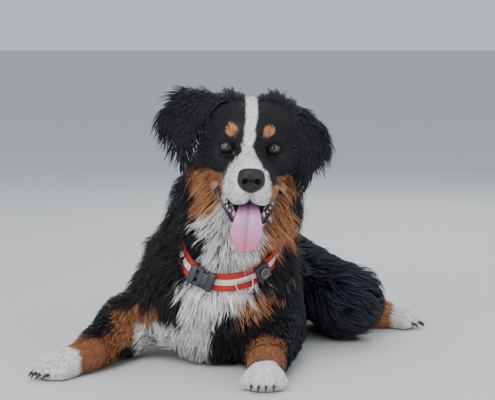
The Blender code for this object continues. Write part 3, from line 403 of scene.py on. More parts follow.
def ruffle(p, size, seed=0.0):
    """Smooth noise from -1 to 1 that wanders over about the given length."""
    q = p / size + seed
    x, y, z = q.T
    a = np.sin(x * 1.7 + 1.3 * np.sin(y * 1.1 + seed)) * np.cos(z * 1.5 - y)
    b = np.sin(y * 2.9 - x * 1.9 + 0.7) * np.sin(z * 3.1 + x * 0.8 + seed)
    return 0.65 * a + 0.35 * b


BLACK = np.array((0.0105, 0.0105, 0.0135))
WHITE = np.array((0.87, 0.86, 0.83))
RUST = np.array((0.54, 0.232, 0.100))
DARK_RUST = np.array((0.34, 0.128, 0.050))
# Where the white toes begin, as a share of the way from each ankle to its toes.
WHITE_FROM = dict(
    paw_front_left=0.80, paw_front_right=0.52, paw_hind_left=0.62, paw_hind_right=0.45
)


def put_on(colours, mask, colour):
    mask = np.clip(mask, 0.0, 1.0)[:, None]
    return colours * (1.0 - mask) + mask * colour


def spans(z, *stops):
    """A width that follows stops of (height, width) down the animal."""
    stops = sorted(stops)
    return np.interp(z, [stop[0] for stop in stops], [stop[1] for stop in stops])


def within(soft, *gaps):
    """1 where every gap is above 0, and 0 where one is below it, with edges this soft."""
    return np.prod([ramp(gap, -soft, soft) for gap in gaps], axis=0)


def face_marks(p, colours):
    """The white blaze and muzzle, the rust brows and cheeks and the black rims of the eyes."""
    q = to_head(p)
    x, y, z = q.T
    x = x + 0.0022 * ruffle(p, 0.006)
    z = z + 0.0020 * ruffle(p, 0.007, 5.0)
    middle = spans(z, (0.070, 0.0006), (0.046, 0.0016), (0.024, 0.0026), (0.009, 0.0055))
    ax = np.abs(x + middle)
    of_face = ramp(head(p), 0.024, 0.012) * ramp(z, -0.170, -0.150)
    top = spans(
        x, (-0.110, -0.028), (-0.094, -0.036), (-0.070, -0.043), (0.03, -0.046), (0.110, -0.050)
    )
    right = ((-0.20, 0.030), (-0.135, 0.062), (-0.105, 0.088), (-0.070, 0.099), (-0.02, 0.098))
    left = ((-0.24, 0.040), (-0.175, 0.052), (-0.145, 0.070), (-0.09, 0.084), (-0.04, 0.080))
    outer = np.where(x < 0.0, spans(z, *right), spans(z, *left))
    cheek = within(0.003, top - z, outer - ax) * ramp(ax, 0.026, 0.032) * within(0.006, 0.085 - y)
    colours = put_on(colours, of_face * cheek, RUST)
    brow = gauss((ax - 0.0300) / 0.0115, (z - 0.0290) / 0.0130, (y + 0.004) / 0.040)
    colours = put_on(colours, of_face * ramp(brow, 0.42, 0.56), RUST)
    half = spans(
        z, (0.13, 0.008), (0.071, 0.0100), (0.046, 0.0095), (0.024, 0.0080), (0.009, 0.0080),
        (-0.001, 0.0110), (-0.010, 0.0185), (-0.020, 0.0270), (-0.030, 0.0335), (-0.042, 0.0370),
        (-0.060, 0.0385), (-0.079, 0.0360), (-0.130, 0.0440),
    )
    white = within(0.002, half - ax) * ramp(0.080 - y, -0.004, 0.006)
    white = white * within(0.01, 0.050 - y + np.maximum(z, 0.0) * 2.0)
    chin = ramp(-z, 0.060, 0.075) * 0.045 - y - 0.004 + ramp(z, -0.07, -0.05)
    colours = put_on(colours, of_face * (white * within(0.003, chin)), WHITE)
    away = np.stack([np.abs(q[:, 0]) - EYE_HALF_SPACING, q[:, 1] * 0.6, q[:, 2]], 1)
    rims = ramp(0.0165 - np.linalg.norm(away, axis=1), -0.002, 0.003)
    return put_on(colours, of_face * rims, BLACK)


def markings(p):
    """The coat's colour at each point: black, with rust and white marks as the breed has them, and
    a painted shadow streak on the chest.
    """
    p = rows(p)
    wx, wy, wz = (p + 0.004 * np.stack([ruffle(p, 0.013, s) for s in (1.0, 2.0, 4.0)], 1)).T
    colours = np.repeat(BLACK[None], len(p), 0)
    ahead = -wy - spans(wz, (0.0, 0.0), (0.15, 0.02), (0.20, 0.07), (0.27, 0.105), (0.32, 0.13))
    front = within(0.01, ahead) * within(0.006, 0.312 - wz)
    left = spans(
        wz, (0.133, -0.046), (0.168, -0.041), (0.195, -0.013), (0.228, 0.001), (0.262, -0.007),
        (0.325, -0.024),
    )
    right = spans(
        wz, (0.060, -0.010), (0.120, 0.008), (0.160, 0.050), (0.205, 0.066), (0.325, 0.068)
    )
    rust = spans(
        wz, (0.118, -0.010), (0.124, 0.024), (0.134, 0.060), (0.133, 0.132), (0.161, 0.132),
        (0.166, 0.060),
    )
    breast = within(0.003, rust - wx) * ramp(wx, -0.02, 0.0) * within(0.003, 0.166 - wz)
    breast = breast * ramp(wz, 0.118, 0.126) * ramp(-wy, 0.045, 0.065)
    colours = put_on(colours, front * breast, RUST)
    out = spans(wz, (0.215, 0.070), (0.240, 0.096), (0.275, 0.116), (0.320, 0.132))
    jowl = within(0.004, out - wx) * ramp(wx, 0.054, 0.062) * ramp(wz, 0.218, 0.228)
    colours = put_on(colours, front * jowl, RUST)
    cheek = ramp(wx, -0.024, -0.018) * within(0.004, 0.021 - wx) * ramp(wz, 0.281, 0.291)
    colours = put_on(colours, front * cheek, RUST)
    bib = within(0.003, right - wx, wx - left) * (1.0 - cheek)
    apron = ramp(wx, -0.148, -0.140) * within(0.003, -0.03 - wx)
    apron = apron * within(0.003, 0.105 + 0.30 * (wx + 0.06) - wz)
    tan = ramp(wx, -0.186, -0.178) * within(0.003, -0.105 - wx)
    tan = tan * within(0.004, 0.110 + 0.25 * (wx + 0.12) - wz) * ramp(wz, 0.035, 0.045)
    tan = ramp(-wy, 0.0, 0.02) * tan * ramp(foreleg_right(p), -0.02, 0.01)
    colours = put_on(colours, tan, RUST)
    colours = put_on(colours, front * np.maximum(bib, apron) * ramp(wz, 0.006, 0.012), WHITE)
    # A painted shadow: a dark streak across the chest hair, where a gap in the fur lies in shade.
    shadow_streak = gauss((wx - 0.012 - 1.4 * (wz - 0.118)) / 0.010, (wz - 0.118) / 0.012)
    colours = put_on(colours, front * ramp(shadow_streak, 0.35, 0.6), BLACK)
    left_leg, right_leg = foreleg_left(p), foreleg_right(p)
    upper = ramp(left_leg, 0.034, 0.018) * ramp(-wy, 0.030, 0.050) * within(0.004, 0.118 - wz)
    colours = put_on(colours, upper, BLACK)
    shin = ramp(left_leg, 0.030, 0.015) * ramp(-wy, 0.215, 0.240)
    shin = shin * within(0.004, 0.118 - wx - 0.10 * (wy + 0.26))
    colours = put_on(colours, shin, DARK_RUST)
    arm = ramp(right_leg, 0.030, 0.015) * ramp(-wx, 0.165, 0.185) * ramp(-wy, 0.045, 0.075)
    colours = put_on(colours, arm * within(0.004, 0.060 - wz), DARK_RUST)
    toes = np.zeros(len(p))
    for (name, (ankle, tips, _)), paw in zip(FEET.items(), feet(p)):
        ahead = (np.array(tips) - np.array(ankle)) * (1.0, 1.0, 0.0)
        t = (np.stack([wx, wy, wz], 1) - np.array(ankle)) @ ahead / np.linalg.norm(ahead) ** 2
        near = ramp(paw, 0.020, 0.010)
        if "hind" in name:
            colours = put_on(colours, near * ramp(t, -0.35, -0.15), RUST)
        toes = np.maximum(toes, near * within(0.05, t - WHITE_FROM[name]))
    colours = put_on(colours, toes, WHITE)
    tip = np.linalg.norm(p - np.array(TAIL_TIP), axis=1)
    colours = put_on(colours, within(0.01, 0.075 - tip), WHITE)
    return face_marks(p, colours)


PARTS = ("trunk", "neck", "leg", "thigh", "paw", "tail", "head")
DEPTHS = dict(trunk=0.030, neck=0.036, leg=0.013, thigh=0.028, paw=0.004, tail=0.032)
CORE_SHARE = 0.45


def nearness(p):
    """For each point, how much of each part of the body it belongs to; each row adds up to 1."""
    p = rows(p)
    legs = np.minimum(foreleg_left(p), foreleg_right(p))
    thighs = np.minimum(hindleg_left(p), hindleg_right(p))
    paws = np.min(feet(p), axis=0)
    away = (trunk(p), neck(p), legs, thighs, paws - 0.012, tail(p), head(p) - 0.006)
    weights = np.stack([np.exp(-np.maximum(d, -0.02) / 0.010) for d in away], 1)
    return weights / weights.sum(1)[:, None]


def coat_depth(p):
    """Short on the muzzle and brow, long over the cheeks, the ruff, the trunk and the tail."""
    q = to_head(p)
    back = np.clip((q[:, 1] + 0.020) / 0.080, 0.0, 1.0)
    away = (np.abs(q[:, 0]) - 0.075) ** 2 + (q[:, 1] - 0.045) ** 2 + (q[:, 2] + 0.045) ** 2
    on_head = 0.003 + 0.011 * back + 0.014 * np.exp(-away / 0.0014)
    depths = [np.full(len(q), DEPTHS[part]) for part in PARTS[:-1]] + [on_head]
    return np.sum(nearness(p) * np.stack(depths, 1), axis=1)


def core(p):
    """The dense under coat, which the strap of the collar lies on."""
    return body(p) - CORE_SHARE * coat_depth(p)


HEAD_SEAM = (np.array((0.050, -0.080, 0.286)), np.array((0.0, -0.574, 0.819)))
SEAM_LAP = 0.010


def above_seam(p):
    return (p - HEAD_SEAM[0]) @ HEAD_SEAM[1]


def below_head(p):
    return np.maximum(body(p), above_seam(p) - SEAM_LAP)


def above_body(p):
    return np.maximum(body(p), -above_seam(p) - SEAM_LAP)


# The box and the cell that each net is drawn with, and the least height of the hide.
BODY_BOX, BODY_CELL = ((-0.345, -0.400, -0.012), (0.435, 0.775, 0.42)), 0.0060
HEAD_BOX, HEAD_CELL = ((-0.070, -0.335, 0.205), (0.185, 0.040, 0.51)), 0.0024
LOWEST = 0.0012
body_points, body_faces = net(below_head, *BODY_BOX, BODY_CELL)
head_points, head_faces = net(above_body, *HEAD_BOX, HEAD_CELL)
body_points[:, 2] = np.maximum(body_points[:, 2], LOWEST)


def joined_nets(*nets):
    points, faces, start = [], [], 0
    for some_points, some_faces in nets:
        used = np.unique(some_faces)
        index = np.zeros(len(some_points), int)
        index[used] = np.arange(len(used))
        points.append(some_points[used])
        faces.append(index[some_faces] + start)
        start += len(used)
    return np.concatenate(points), np.concatenate(faces)


# The lids: two thin folds drawn round each eyeball, open to an almond, with dark rims.

EYE_OPEN_WIDE = 0.0110
EYE_OPEN_UP, EYE_OPEN_DOWN = 0.0062, 0.0058


def eye_centre(side):
    return np.array((side * EYE_HALF_SPACING, EYE_SET_BACK, 0.0))


def lids_field(q):
    ball = np.linalg.norm(q, axis=1)
    shell = np.maximum(ball - EYE_RADIUS - 0.0026, EYE_RADIUS + 0.0003 - ball)
    height = np.where(q[:, 2] > 0.0, EYE_OPEN_UP, EYE_OPEN_DOWN)
    height = height * np.sqrt(np.clip(1.0 - (q[:, 0] / EYE_OPEN_WIDE) ** 2, 0.0, 1.0))
    opening = np.maximum(np.abs(q[:, 2]) - height, np.abs(q[:, 0]) - EYE_OPEN_WIDE)
    lids = smooth_max(shell, -opening, 0.0012)
    return np.maximum(lids, q[:, 1] - 0.001)


LID_REACH, LID_CELL = 0.016, 0.0007
lid_points, lid_faces = net(lids_field, (-LID_REACH,) * 3, (LID_REACH,) * 3, LID_CELL)
lid_nets = []
for side in (1, -1):
    slant = np.array(Euler((0.0, -side * radians(9), side * radians(14))).to_matrix())
    lid_nets.append((from_head(lid_points @ slant.T + eye_centre(side)), lid_faces))


# The leaf of each ear: a soft flap, set high, that bends over and hangs to a rounded tip.

EAR_PATHS = {
    1: (
        (0.056, 0.066, 0.054), (0.086, 0.066, 0.054), (0.127, 0.044, 0.004), (0.100, 0.030, -0.060)
    ),
    -1: (
        (0.056, 0.066, 0.056), (0.096, 0.068, 0.090), (0.139, 0.048, 0.044), (0.117, 0.040, -0.032)
    ),
}
EAR_ACROSS = {
    1: ((0.55, 0.80, -0.25), (0.86, 0.50, 0.00)),
    -1: ((0.75, 0.60, -0.25), (0.90, 0.42, 0.00)),
}
EAR_STEPS, EAR_SIDES = 40, 28


def bezier(ends, count):
    t = np.linspace(0.0, 1.0, count)[:, None]
    a, b, c, d = [np.array(point) for point in ends]
    return (1 - t) ** 3 * a + 3 * (1 - t) ** 2 * t * b + 3 * (1 - t) * t**2 * c + t**3 * d


def ear_lines(side):
    """Centres down the leaf and directions across it, from its front edge to its back."""
    path = bezier(EAR_PATHS[side], EAR_STEPS)
    t = np.linspace(0.0, 1.0, EAR_STEPS)[:, None]
    first, last = EAR_ACROSS[side]
    across = (1 - t) * np.array(first) + t * np.array(last)
    flip = np.array((side, 1.0, 1.0))
    return path * flip, across * flip


def turns(count):
    return 2 * pi * np.arange(count) / count


def between_rings(rings, sides, closed=False):
    """The quads between rings of points; closed joins the last ring to the first."""
    k, s = np.meshgrid(np.arange(rings if closed else rings - 1), np.arange(sides), indexing="ij")
    j, t = (k + 1) % rings, (s + 1) % sides
    quads = np.stack([k * sides + s, j * sides + s, j * sides + t, k * sides + t], -1)
    return quads.reshape(-1, 4)


def swept(centres, across, half_widths, half_depths, bow, sides):
    """Points and quads of a leaf swept along a line of centres; bow cups its cross-section."""
    side = unit(across)
    up = unit(np.cross(side, np.gradient(centres, axis=0)))
    a = turns(sides)
    lift = half_depths[:, None] * np.sin(a) + bow * half_widths[:, None] * (np.cos(a) ** 2 - 0.5)
    points = centres[:, None] + side[:, None] * (half_widths[:, None] * np.cos(a))[..., None]
    points = points + up[:, None] * lift[..., None]
    return points.reshape(-1, 3), between_rings(len(centres), sides)


def capped(faces, count, sides):
    """A leaf's quads with more of them across its two ends, which closes it."""
    i = np.arange(sides // 2 - 1)
    cap = np.stack([i, i + 1, sides - 2 - i, sides - 1 - i], 1)
    return np.concatenate([faces, cap, cap[:, ::-1] + (count - 1) * sides])


ear_nets = {}
t = np.linspace(0.0, 1.0, EAR_STEPS)
ear_half = 0.034 + 0.016 * np.sin(pi * np.clip(t * 1.1, 0.0, 1.0))
ear_half = ear_half * np.clip(1.35 * (1.0 - t**2.4), 0.02, 1.0)
ear_deep = 0.0030 * np.clip(4.0 * (1.0 - t), 0.05, 1.0)
for side in (1, -1):
    centres, across = ear_lines(side)
    points, faces = swept(
        from_head(centres), across @ HEAD_SPIN.T, ear_half, ear_deep, side * 0.22, EAR_SIDES
    )
    ear_nets[side] = (points, capped(faces, EAR_STEPS, EAR_SIDES))

hide_points, hide_faces = joined_nets(
    (body_points, body_faces), (head_points, head_faces), *lid_nets, *ear_nets.values()
)


class Wire:
    """A shader value that adds Math nodes to its tree as it is written in an expression."""

    def __init__(self, tree, socket):
        self.tree, self.socket = tree, socket

    def math(self, operation, a, b=0.0):
        node = self.tree.nodes.new("ShaderNodeMath")
        node.operation = operation
        for slot, value in zip(node.inputs, (a, b)):
            if isinstance(value, Wire):
                self.tree.links.new(value.socket, slot)
            else:
                slot.default_value = value
        return Wire(self.tree, node.outputs[0])

    def __add__(self, other):
        return self.math("ADD", self, other)

    def __sub__(self, other):
        return self.math("SUBTRACT", self, other)

    def __mul__(self, other):
        return self.math("MULTIPLY", self, other)

    def __rsub__(self, other):
        return self.math("SUBTRACT", other, self)

    __radd__, __rmul__ = __add__, __mul__

    def __abs__(self):
        return self.math("ABSOLUTE", self)

    def wave(self):
        return self.math("SINE", self)

    def held(self):
        """The value kept between 0 and 1."""
        return self.math("MAXIMUM", self.math("MINIMUM", self, 1.0), 0.0)


class Finish:
    """A material: its shader's constants, and nodes of any type by one method."""

    def __init__(self, name, **constants):
        self.material = bpy.data.materials.new(name)
        self.material.use_nodes = True
        self.tree = self.material.node_tree
        self.shader = self.tree.nodes["Principled BSDF"]
        self.set(**constants)

    def feed(self, node, values):
        for key, value in values.items():
            slot = node.inputs[key.replace("_", " ") if isinstance(key, str) else key]
            if isinstance(value, Wire):
                self.tree.links.new(value.socket, slot)
            elif slot.type == "RGBA" and len(value) == 3:
                slot.default_value = (*value, 1.0)
            else:
                slot.default_value = value

    def node(self, kind, settings=None, output=0, **values):
        made = self.tree.nodes.new("ShaderNode" + kind)
        for key, value in (settings or {}).items():
            setattr(made, key, value)
        self.feed(made, values)
        return Wire(self.tree, made.outputs[output])

    def place(self):
        return self.node("TexCoord", output="Object")

    def point_colours(self):
        """The colours given to the piece's points, with painted shade included where a piece has
        it.
        """
        return self.node("VertexColor", dict(layer_name="ColourAndShade"))

    def mix(self, factor, a, b, kind="MIX"):
        """Two colours mixed, each a colour or a wire."""
        made = self.tree.nodes.new("ShaderNodeMix")
        made.data_type, made.blend_type = "RGBA", kind
        self.feed(made, {0: factor, 6: a, 7: b})
        return Wire(self.tree, made.outputs[2])

    def set(self, **values):
        self.feed(self.shader, values)

    def bump(self, height, strength, distance):
        self.set(Normal=self.node("Bump", Height=height, Strength=strength, Distance=distance))


def mouth_depth(p):
    """How far each point lies from the hollow of the open mouth."""
    return np.minimum(*mouth_forms(folded(p)))


def lip_band(p):
    """Distance to the bare, fleshy rim along each side of the lower jaw."""
    q = folded(p)
    rim = cone(q, (0.056, -0.006, -0.074), (0.025, -0.070, -0.110), 0.0080, 0.0075)
    return np.maximum(rim, q[:, 2] + 0.072 - 0.26 * q[:, 1])


GUM = np.array((0.070, 0.024, 0.034))
LIP = np.array((0.012, 0.009, 0.011))
RIM = np.array((0.200, 0.130, 0.175))
# The hide takes the markings at 0.8 of their brightness: painted shade where it lies under the fur.
hide_colour_and_shade = markings(hide_points) * 0.80
hollow, band = mouth_depth(hide_points), lip_band(hide_points)
in_head = to_head(hide_points)
inside = ramp(0.0012 - hollow, -0.0006, 0.0006) * ramp(in_head[:, 1], -0.085, -0.05)
fleshy = ramp(-0.0022 - band, -0.0008, 0.0008)
fleshy = fleshy * ramp(0.55 - ruffle(hide_points, 0.0045, 3.0), -0.15, 0.15)
in_nose = np.linalg.norm((in_head - (0.0, -0.100, -0.036)) / (0.022, 0.020, 0.020), axis=1)
for where, colour in (
    (ramp(0.0036 - hollow, -0.0006, 0.0006), LIP),
    (inside, GUM),
    (ramp(0.0012 - band, -0.0006, 0.0006), LIP),
    (fleshy * ramp(0.0060 - hollow, -0.002, 0.002), RIM),
    (ramp(1.05 - in_nose, -0.04, 0.04), LIP),
):
    hide_colour_and_shade = put_on(hide_colour_and_shade, where, colour)
ear_count = sum(len(np.unique(faces)) for _, faces in ear_nets.values())
lid_count = sum(len(np.unique(faces)) for _, faces in lid_nets)
hide_colour_and_shade[-ear_count:] = BLACK
hide_colour_and_shade[-ear_count - lid_count : -ear_count] = BLACK * 0.7

finish = Finish("hide", Roughness=0.60, Specular_IOR_Level=0.35)
pores = finish.node("TexNoise", Vector=finish.place(), Scale=900.0, Detail=4.0)
spread = finish.node("MapRange", From_Min=0.2, From_Max=0.8, To_Min=0.75, To_Max=1.1, Value=pores)
finish.set(Base_Color=finish.mix(1.0, finish.point_colours(), spread, "MULTIPLY"))
finish.bump(pores, 0.35, 0.0006)
hide = mesh_object("hide", hide_points, hide_faces, [finish.material])
colour_points(hide, hide_colour_and_shade)
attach(hide, "root")
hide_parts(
    "head", "neck", "chest", "torso", "tail", "foreleg_left", "foreleg_right",
    "hindleg_left", "hindleg_right", "paw_front_left", "paw_front_right", "paw_hind_left",
    "paw_hind_right", "ear_left", "ear_right",
)

# ---------------------------------------------------------------------------------------------
# The nose: bare leather, pebbled like a grained hide, with two comma-shaped nostrils and a
# groove down to the lip.

NOSE_AT = (0.0, -0.1000, -0.0345)


def nose_field(p):
    """The leather of the nose, with its two nostrils and the slits that run out of them."""
    q = folded(p)
    x, y, z = NOSE_AT
    top = ellipsoid(q, (0.0, y + 0.004, z + 0.008), (0.0215, 0.0165, 0.0130))
    wing = ellipsoid(q, (0.0120, y, z - 0.002), (0.0115, 0.0140, 0.0130))
    lower = ellipsoid(q, (0.0, y + 0.001, z - 0.013), (0.0110, 0.0115, 0.0110))
    leather = joined([top, wing, lower], 0.006)
    nostril = ellipsoid(q, (0.0102, y - 0.0120, z - 0.0010), (0.0052, 0.0090, 0.0048))
    slit = ((0.0120, y - 0.0120, z - 0.0030), (0.0225, y - 0.0020, z - 0.0075), 0.0026, 0.0012)
    slit = cone(q, *slit)
    return smooth_max(smooth_max(leather, -nostril, 0.0015), -slit, 0.0012)


nose_middle = from_head(NOSE_AT)[0]
nose_points, nose_faces = net(nose_field, nose_middle - 0.034, nose_middle + 0.034, 0.0008)
groove = to_head(nose_points)
pinch = np.exp(-((groove[:, 0] / 0.0012) ** 2)) * ramp(-groove[:, 2], 0.032, 0.038)
nose_points = nose_points - 0.0012 * pinch[:, None] * slope_of(nose_field, nose_points)
finish = Finish("nose_leather", Roughness=0.40, Specular_IOR_Level=0.42)
cells = dict(feature="DISTANCE_TO_EDGE")
pebbles = finish.node("TexVoronoi", cells, Vector=finish.place(), Scale=850.0)
grain = (pebbles * 3.0).held()
finish.set(Base_Color=finish.mix(grain, (0.003, 0.003, 0.004), (0.010, 0.010, 0.014)))
finish.set(Coat_Weight=grain * 0.22, Coat_Roughness=0.25)
finish.bump(grain, 0.55, 0.0005)
nose = mesh_object("nose_pad", nose_points, nose_faces, [finish.material])
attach(nose, "root")
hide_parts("nose")

# ---------------------------------------------------------------------------------------------
# The eyes: a glossy ball with a brown iris, a black pupil and a dark ring where it meets the
# white. Only a sliver of white shows at the inner corner.

finish = Finish("eye", Roughness=0.12, Coat_Weight=1.0, Coat_Roughness=0.02, IOR=1.38)
finish.set(Base_Color=finish.point_colours())
PUPIL, IRIS, LIMBUS = 0.0034, 0.0074, 0.0082
BROWN, EYE_WHITE = np.array((0.078, 0.046, 0.029)), np.array((0.50, 0.42, 0.38))
LIMBUS_TONE, BACK_TONE = 0.012, 0.2
EYE_RINGS, EYE_TURNS = 90, 72
down = np.linspace(0.03, pi - 0.03, EYE_RINGS) ** 1.15 / pi**0.15
around = turns(EYE_TURNS)
r = EYE_RADIUS * np.sin(down)[:, None]
bulge = 0.0009 * np.exp(-((r / 0.0062) ** 4)) * (down[:, None] < pi / 2)
depth = -(EYE_RADIUS * np.cos(down)[:, None] + bulge) + 0 * around
ball = np.stack([r * np.cos(around), depth, r * np.sin(around)], -1).reshape(-1, 3)
faces = capped(between_rings(EYE_RINGS, EYE_TURNS), EYE_RINGS, EYE_TURNS)
rng = np.random.default_rng(11)
for name, side in (("eye_left", 1), ("eye_right", -1)):
    spokes = rng.random(EYE_TURNS)
    spokes = 0.75 + 0.5 * (spokes + np.roll(spokes, 1)) / 2
    glow = 1.0 + 0.9 * np.exp(-(((r - 0.0048) / 0.0018) ** 2))
    colours = BROWN[None, None] * spokes[None, :, None] * glow[..., None]
    colours = colours * ramp(r, PUPIL - 0.0002, PUPIL + 0.0003)[..., None]
    for inner, outer, tone in ((IRIS, LIMBUS, LIMBUS_TONE), (LIMBUS, LIMBUS + 0.0010, EYE_WHITE)):
        out = ramp(r, inner, outer)[..., None]
        colours = colours * (1 - out) + out * tone
    colours = np.where(down[:, None, None] > pi / 2, BACK_TONE, colours)
    turn = np.array(Euler((radians(-9), 0.0, side * radians(3))).to_matrix())
    points = from_head(ball @ turn.T + eye_centre(side))
    eye = mesh_object(name + "_ball", points, faces, [finish.material])
    colour_points(eye, colours.reshape(-1, 3))
    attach(eye, "root")
    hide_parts(name)

# ---------------------------------------------------------------------------------------------
# The tongue: a wet, soft blade that rolls out over the lower lip, widest near its rounded tip,
# with a shallow groove down its middle.


TONGUE_PATH = (
    (0.0, -0.020, -0.083), (0.0, -0.078, -0.080),
    (-0.001, -0.098, -0.098), (-0.006, -0.101, -0.161),
)
TONGUE_ROOT, TONGUE_TIP = np.array((0.56, 0.26, 0.45)), np.array((0.68, 0.17, 0.25))
steps, sides = 60, 40
t = np.linspace(0.0, 1.0, steps)
half = 0.0120 + 0.0148 * np.clip(t / 0.75, 0.0, 1.0) ** 1.5
half = half * np.sqrt(np.clip(1.0 - np.clip((t - 0.78) / 0.222, 0.0, 1.0) ** 2, 0.002, 1.0))
thick = 0.0048 * np.clip((1.02 - t) * 9.0, 0.12, 1.0)
across = np.repeat(HEAD_SPIN[:, :1].T, steps, 0)
points, faces = swept(from_head(bezier(TONGUE_PATH, steps)), across, half, thick, -0.10, sides)
a = turns(sides)
groove = (np.exp(-((np.cos(a) / 0.16) ** 2)) * (np.sin(a) < 0))[None, :, None]
ring = points.reshape(steps, sides, 3)
middle = ring.mean(1, keepdims=True)
ring = ring + (middle - ring) * (0.55 * groove * ramp(0.98 - t, 0.0, 0.15)[:, None, None])
toward_tip = ramp(t, 0.70, 1.0)[:, None]
tone = TONGUE_ROOT * (1 - toward_tip) + TONGUE_TIP * toward_tip
# Painted shade: the tongue is darker at its root, inside the mouth, and darker along the groove
# down its middle.
shade = (0.45 + 0.55 * ramp(t, 0.30, 0.55))[:, None, None]
colours = np.clip(tone[:, None] * (1.0 - 0.35 * groove) * shade, 0.0, 1.0).reshape(-1, 3)
points, faces = ring.reshape(-1, 3), capped(faces, steps, sides)
finish = Finish(
    "tongue", Roughness=0.38, Coat_Weight=0.35, Coat_Roughness=0.18, Subsurface_Weight=0.15,
    Subsurface_Radius=(0.006, 0.002, 0.002),
)
finish.set(Base_Color=finish.point_colours())
finish.bump(finish.node("TexVoronoi", Vector=finish.place(), Scale=1100.0), 0.35, 0.0004)
tongue = mesh_object("tongue_blade", points, faces, [finish.material])
colour_points(tongue, colours)
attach(tongue, "root")
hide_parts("tongue")

# ---------------------------------------------------------------------------------------------
# The teeth: only the low points of the bottom row show beside the tongue, each a blunt cone of
# ivory that stands on the gum, with the canine taller than the rest.

# Where each tooth stands in the head's frame, on the left side, and how tall it is.
TEETH = (
    (0.0255, -0.074, -0.1045, 0.0088), (0.0315, -0.062, -0.1005, 0.0040),
    (0.0365, -0.051, -0.0960, 0.0046), (0.0410, -0.040, -0.0915, 0.0048),
)
POINT_STEPS, POINT_SIDES = 10, 12
# How far out and how high the bends of a tooth lie, the height as a share of the tooth's.
TOOTH_BENDS = ((0, 0.4), (0.001, 0.8), (0.002, 1))


def blunt_point(line, across, half_width, fall, thickness=1.0):
    """A closed cone with a rounded tip along a line; fall sets how late it narrows."""
    t = np.linspace(0.0, 1.0, POINT_STEPS)
    half = half_width * np.sqrt(np.clip(1.02 - t**fall, 0.02, 1.0))
    across = np.repeat(rows(across), POINT_STEPS, 0)
    points, faces = swept(line, across, half, thickness * half, 0.0, POINT_SIDES)
    return points, capped(faces, POINT_STEPS, POINT_SIDES)


teeth = []
for side in (1, -1):
    for x, y, z, tall in TEETH:
        base = np.array((side * x, y, z))
        bend = [base + (0, out, tall * share) for out, share in TOOTH_BENDS]
        line = from_head(bezier((base, *bend), POINT_STEPS))
        teeth.append(blunt_point(line, HEAD_SPIN[:, 1], 0.0024, 1.4))
points, faces = joined_nets(*teeth)
finish = Finish("tooth", Base_Color=(0.62, 0.58, 0.47), Roughness=0.28, Coat_Weight=0.4)
teeth = mesh_object("teeth", points, faces, [finish.material])
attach(teeth, "root")

# ---------------------------------------------------------------------------------------------
# The coat. Tufts of hair as thin closed blades: each grows out of the hide, lies along it the
# way a real coat does, leans to its neighbours' lock and ends in a point. They are smallest on
# the muzzle and feet, and long, wavy and layered on the ruff, chest, trunk, thighs and tail.


def normals_of(points, faces):
    """The outward normal and the area of each face."""
    a, b, c, d = (points[faces[:, k]] for k in range(4))
    cross = np.cross(c - a, d - b)
    size = np.linalg.norm(cross, axis=1)
    return cross / np.maximum(size, 1e-12)[:, None], size / 2


def level(v, normals):
    """The part of each direction that runs along the surface."""
    return unit(v - np.sum(v * normals, 1)[:, None] * normals)


def direction(start, end):
    way = np.array(end) - np.array(start)
    return way / np.linalg.norm(way)


def lie(p, normals):
    """The way the hair lies at each point: away from the nose, down the chest, back and down
    the trunk, down each leg to its toes and out along the tail."""
    p = rows(p)
    n = len(p)
    x, y, z = p.T
    weights = nearness(p)
    front = ramp(-y, -0.01, 0.09)[:, None]
    flank = np.tile((0.0, 0.80, -0.62), (n, 1))
    breast = np.stack([(x - 0.015) * 2.5, np.full(n, 0.15), np.full(n, -1.0)], 1)
    ways = [flank * (1 - front) + breast * front]
    ways.append(np.stack([(x - 0.035) * 2.6, np.full(n, 0.30), np.full(n, -1.0)], 1))
    left = np.tile(direction(ELBOW_LEFT, WRIST_LEFT) + (0.10, 0.0, -0.35), (n, 1))
    right = np.tile(direction(ELBOW_RIGHT, WRIST_RIGHT) + (0.0, 0.10, -0.30), (n, 1))
    shoulder = np.tile((0.05, 0.10, -1.0), (n, 1))
    high = ramp(z, 0.070, 0.110)[:, None]
    ways.append(np.where(x[:, None] > -0.03, left, right) * (1 - high) + shoulder * high)
    ways.append(np.where(x[:, None] > 0.09, (0.75, 0.15, -0.50), (-0.20, 0.60, -0.70)))
    toes = np.array([direction(ankle, tips) for ankle, tips, _ in FEET.values()])
    which = np.argmin(feet(p), axis=0)
    ways.append(toes[which] + (0.0, 0.0, -0.2))
    joints = np.array((TAIL_ROOT, TAIL_BEND, TAIL_LAID, TAIL_TIP))
    middle = (joints[1:] + joints[:-1]) / 2
    which = np.argmin(np.linalg.norm(p[:, None] - middle[None], axis=2), axis=1)
    ways.append(unit(joints[1:] - joints[:-1])[which] + 0.45 * normals * (1.0, 1.0, 0.3))
    q = to_head(p)
    radial = unit(q - np.array((0.0, -0.115, -0.030)))
    sag = -0.9 * ramp(-q[:, 2], 0.0, 0.05) * ramp(q[:, 1], -0.02, 0.05)
    ways.append((radial + np.stack([0.0 * x, 0.0 * x, sag], 1)) @ HEAD_SPIN.T)
    shares = zip(weights.T, ways)
    return level(sum(w[:, None] * unit(np.asarray(way, float)) for w, way in shares), normals)


# For each part: a tuft's length, its half width, how many grow on a square metre, how far it
# waves to the side, how much it leans to its lock and how far apart the locks' middles are.
COAT = dict(
    trunk=(0.058, 0.00120, 52000, 0.0034, 0.62, 0.024),
    neck=(0.060, 0.00092, 124000, 0.0038, 0.60, 0.022),
    leg=(0.026, 0.00085, 92000, 0.0010, 0.45, 0.012),
    thigh=(0.056, 0.00125, 48000, 0.0034, 0.62, 0.024),
    paw=(0.0095, 0.00058, 170000, 0.0002, 0.20, 0.007),
    tail=(0.075, 0.00135, 44000, 0.0044, 0.65, 0.024),
    head=(0.030, 0.00085, 150000, 0.0012, 0.50, 0.014),
)
FACE = (0.0085, 0.00045, 420000, 0.0002, 0.15, 0.006)


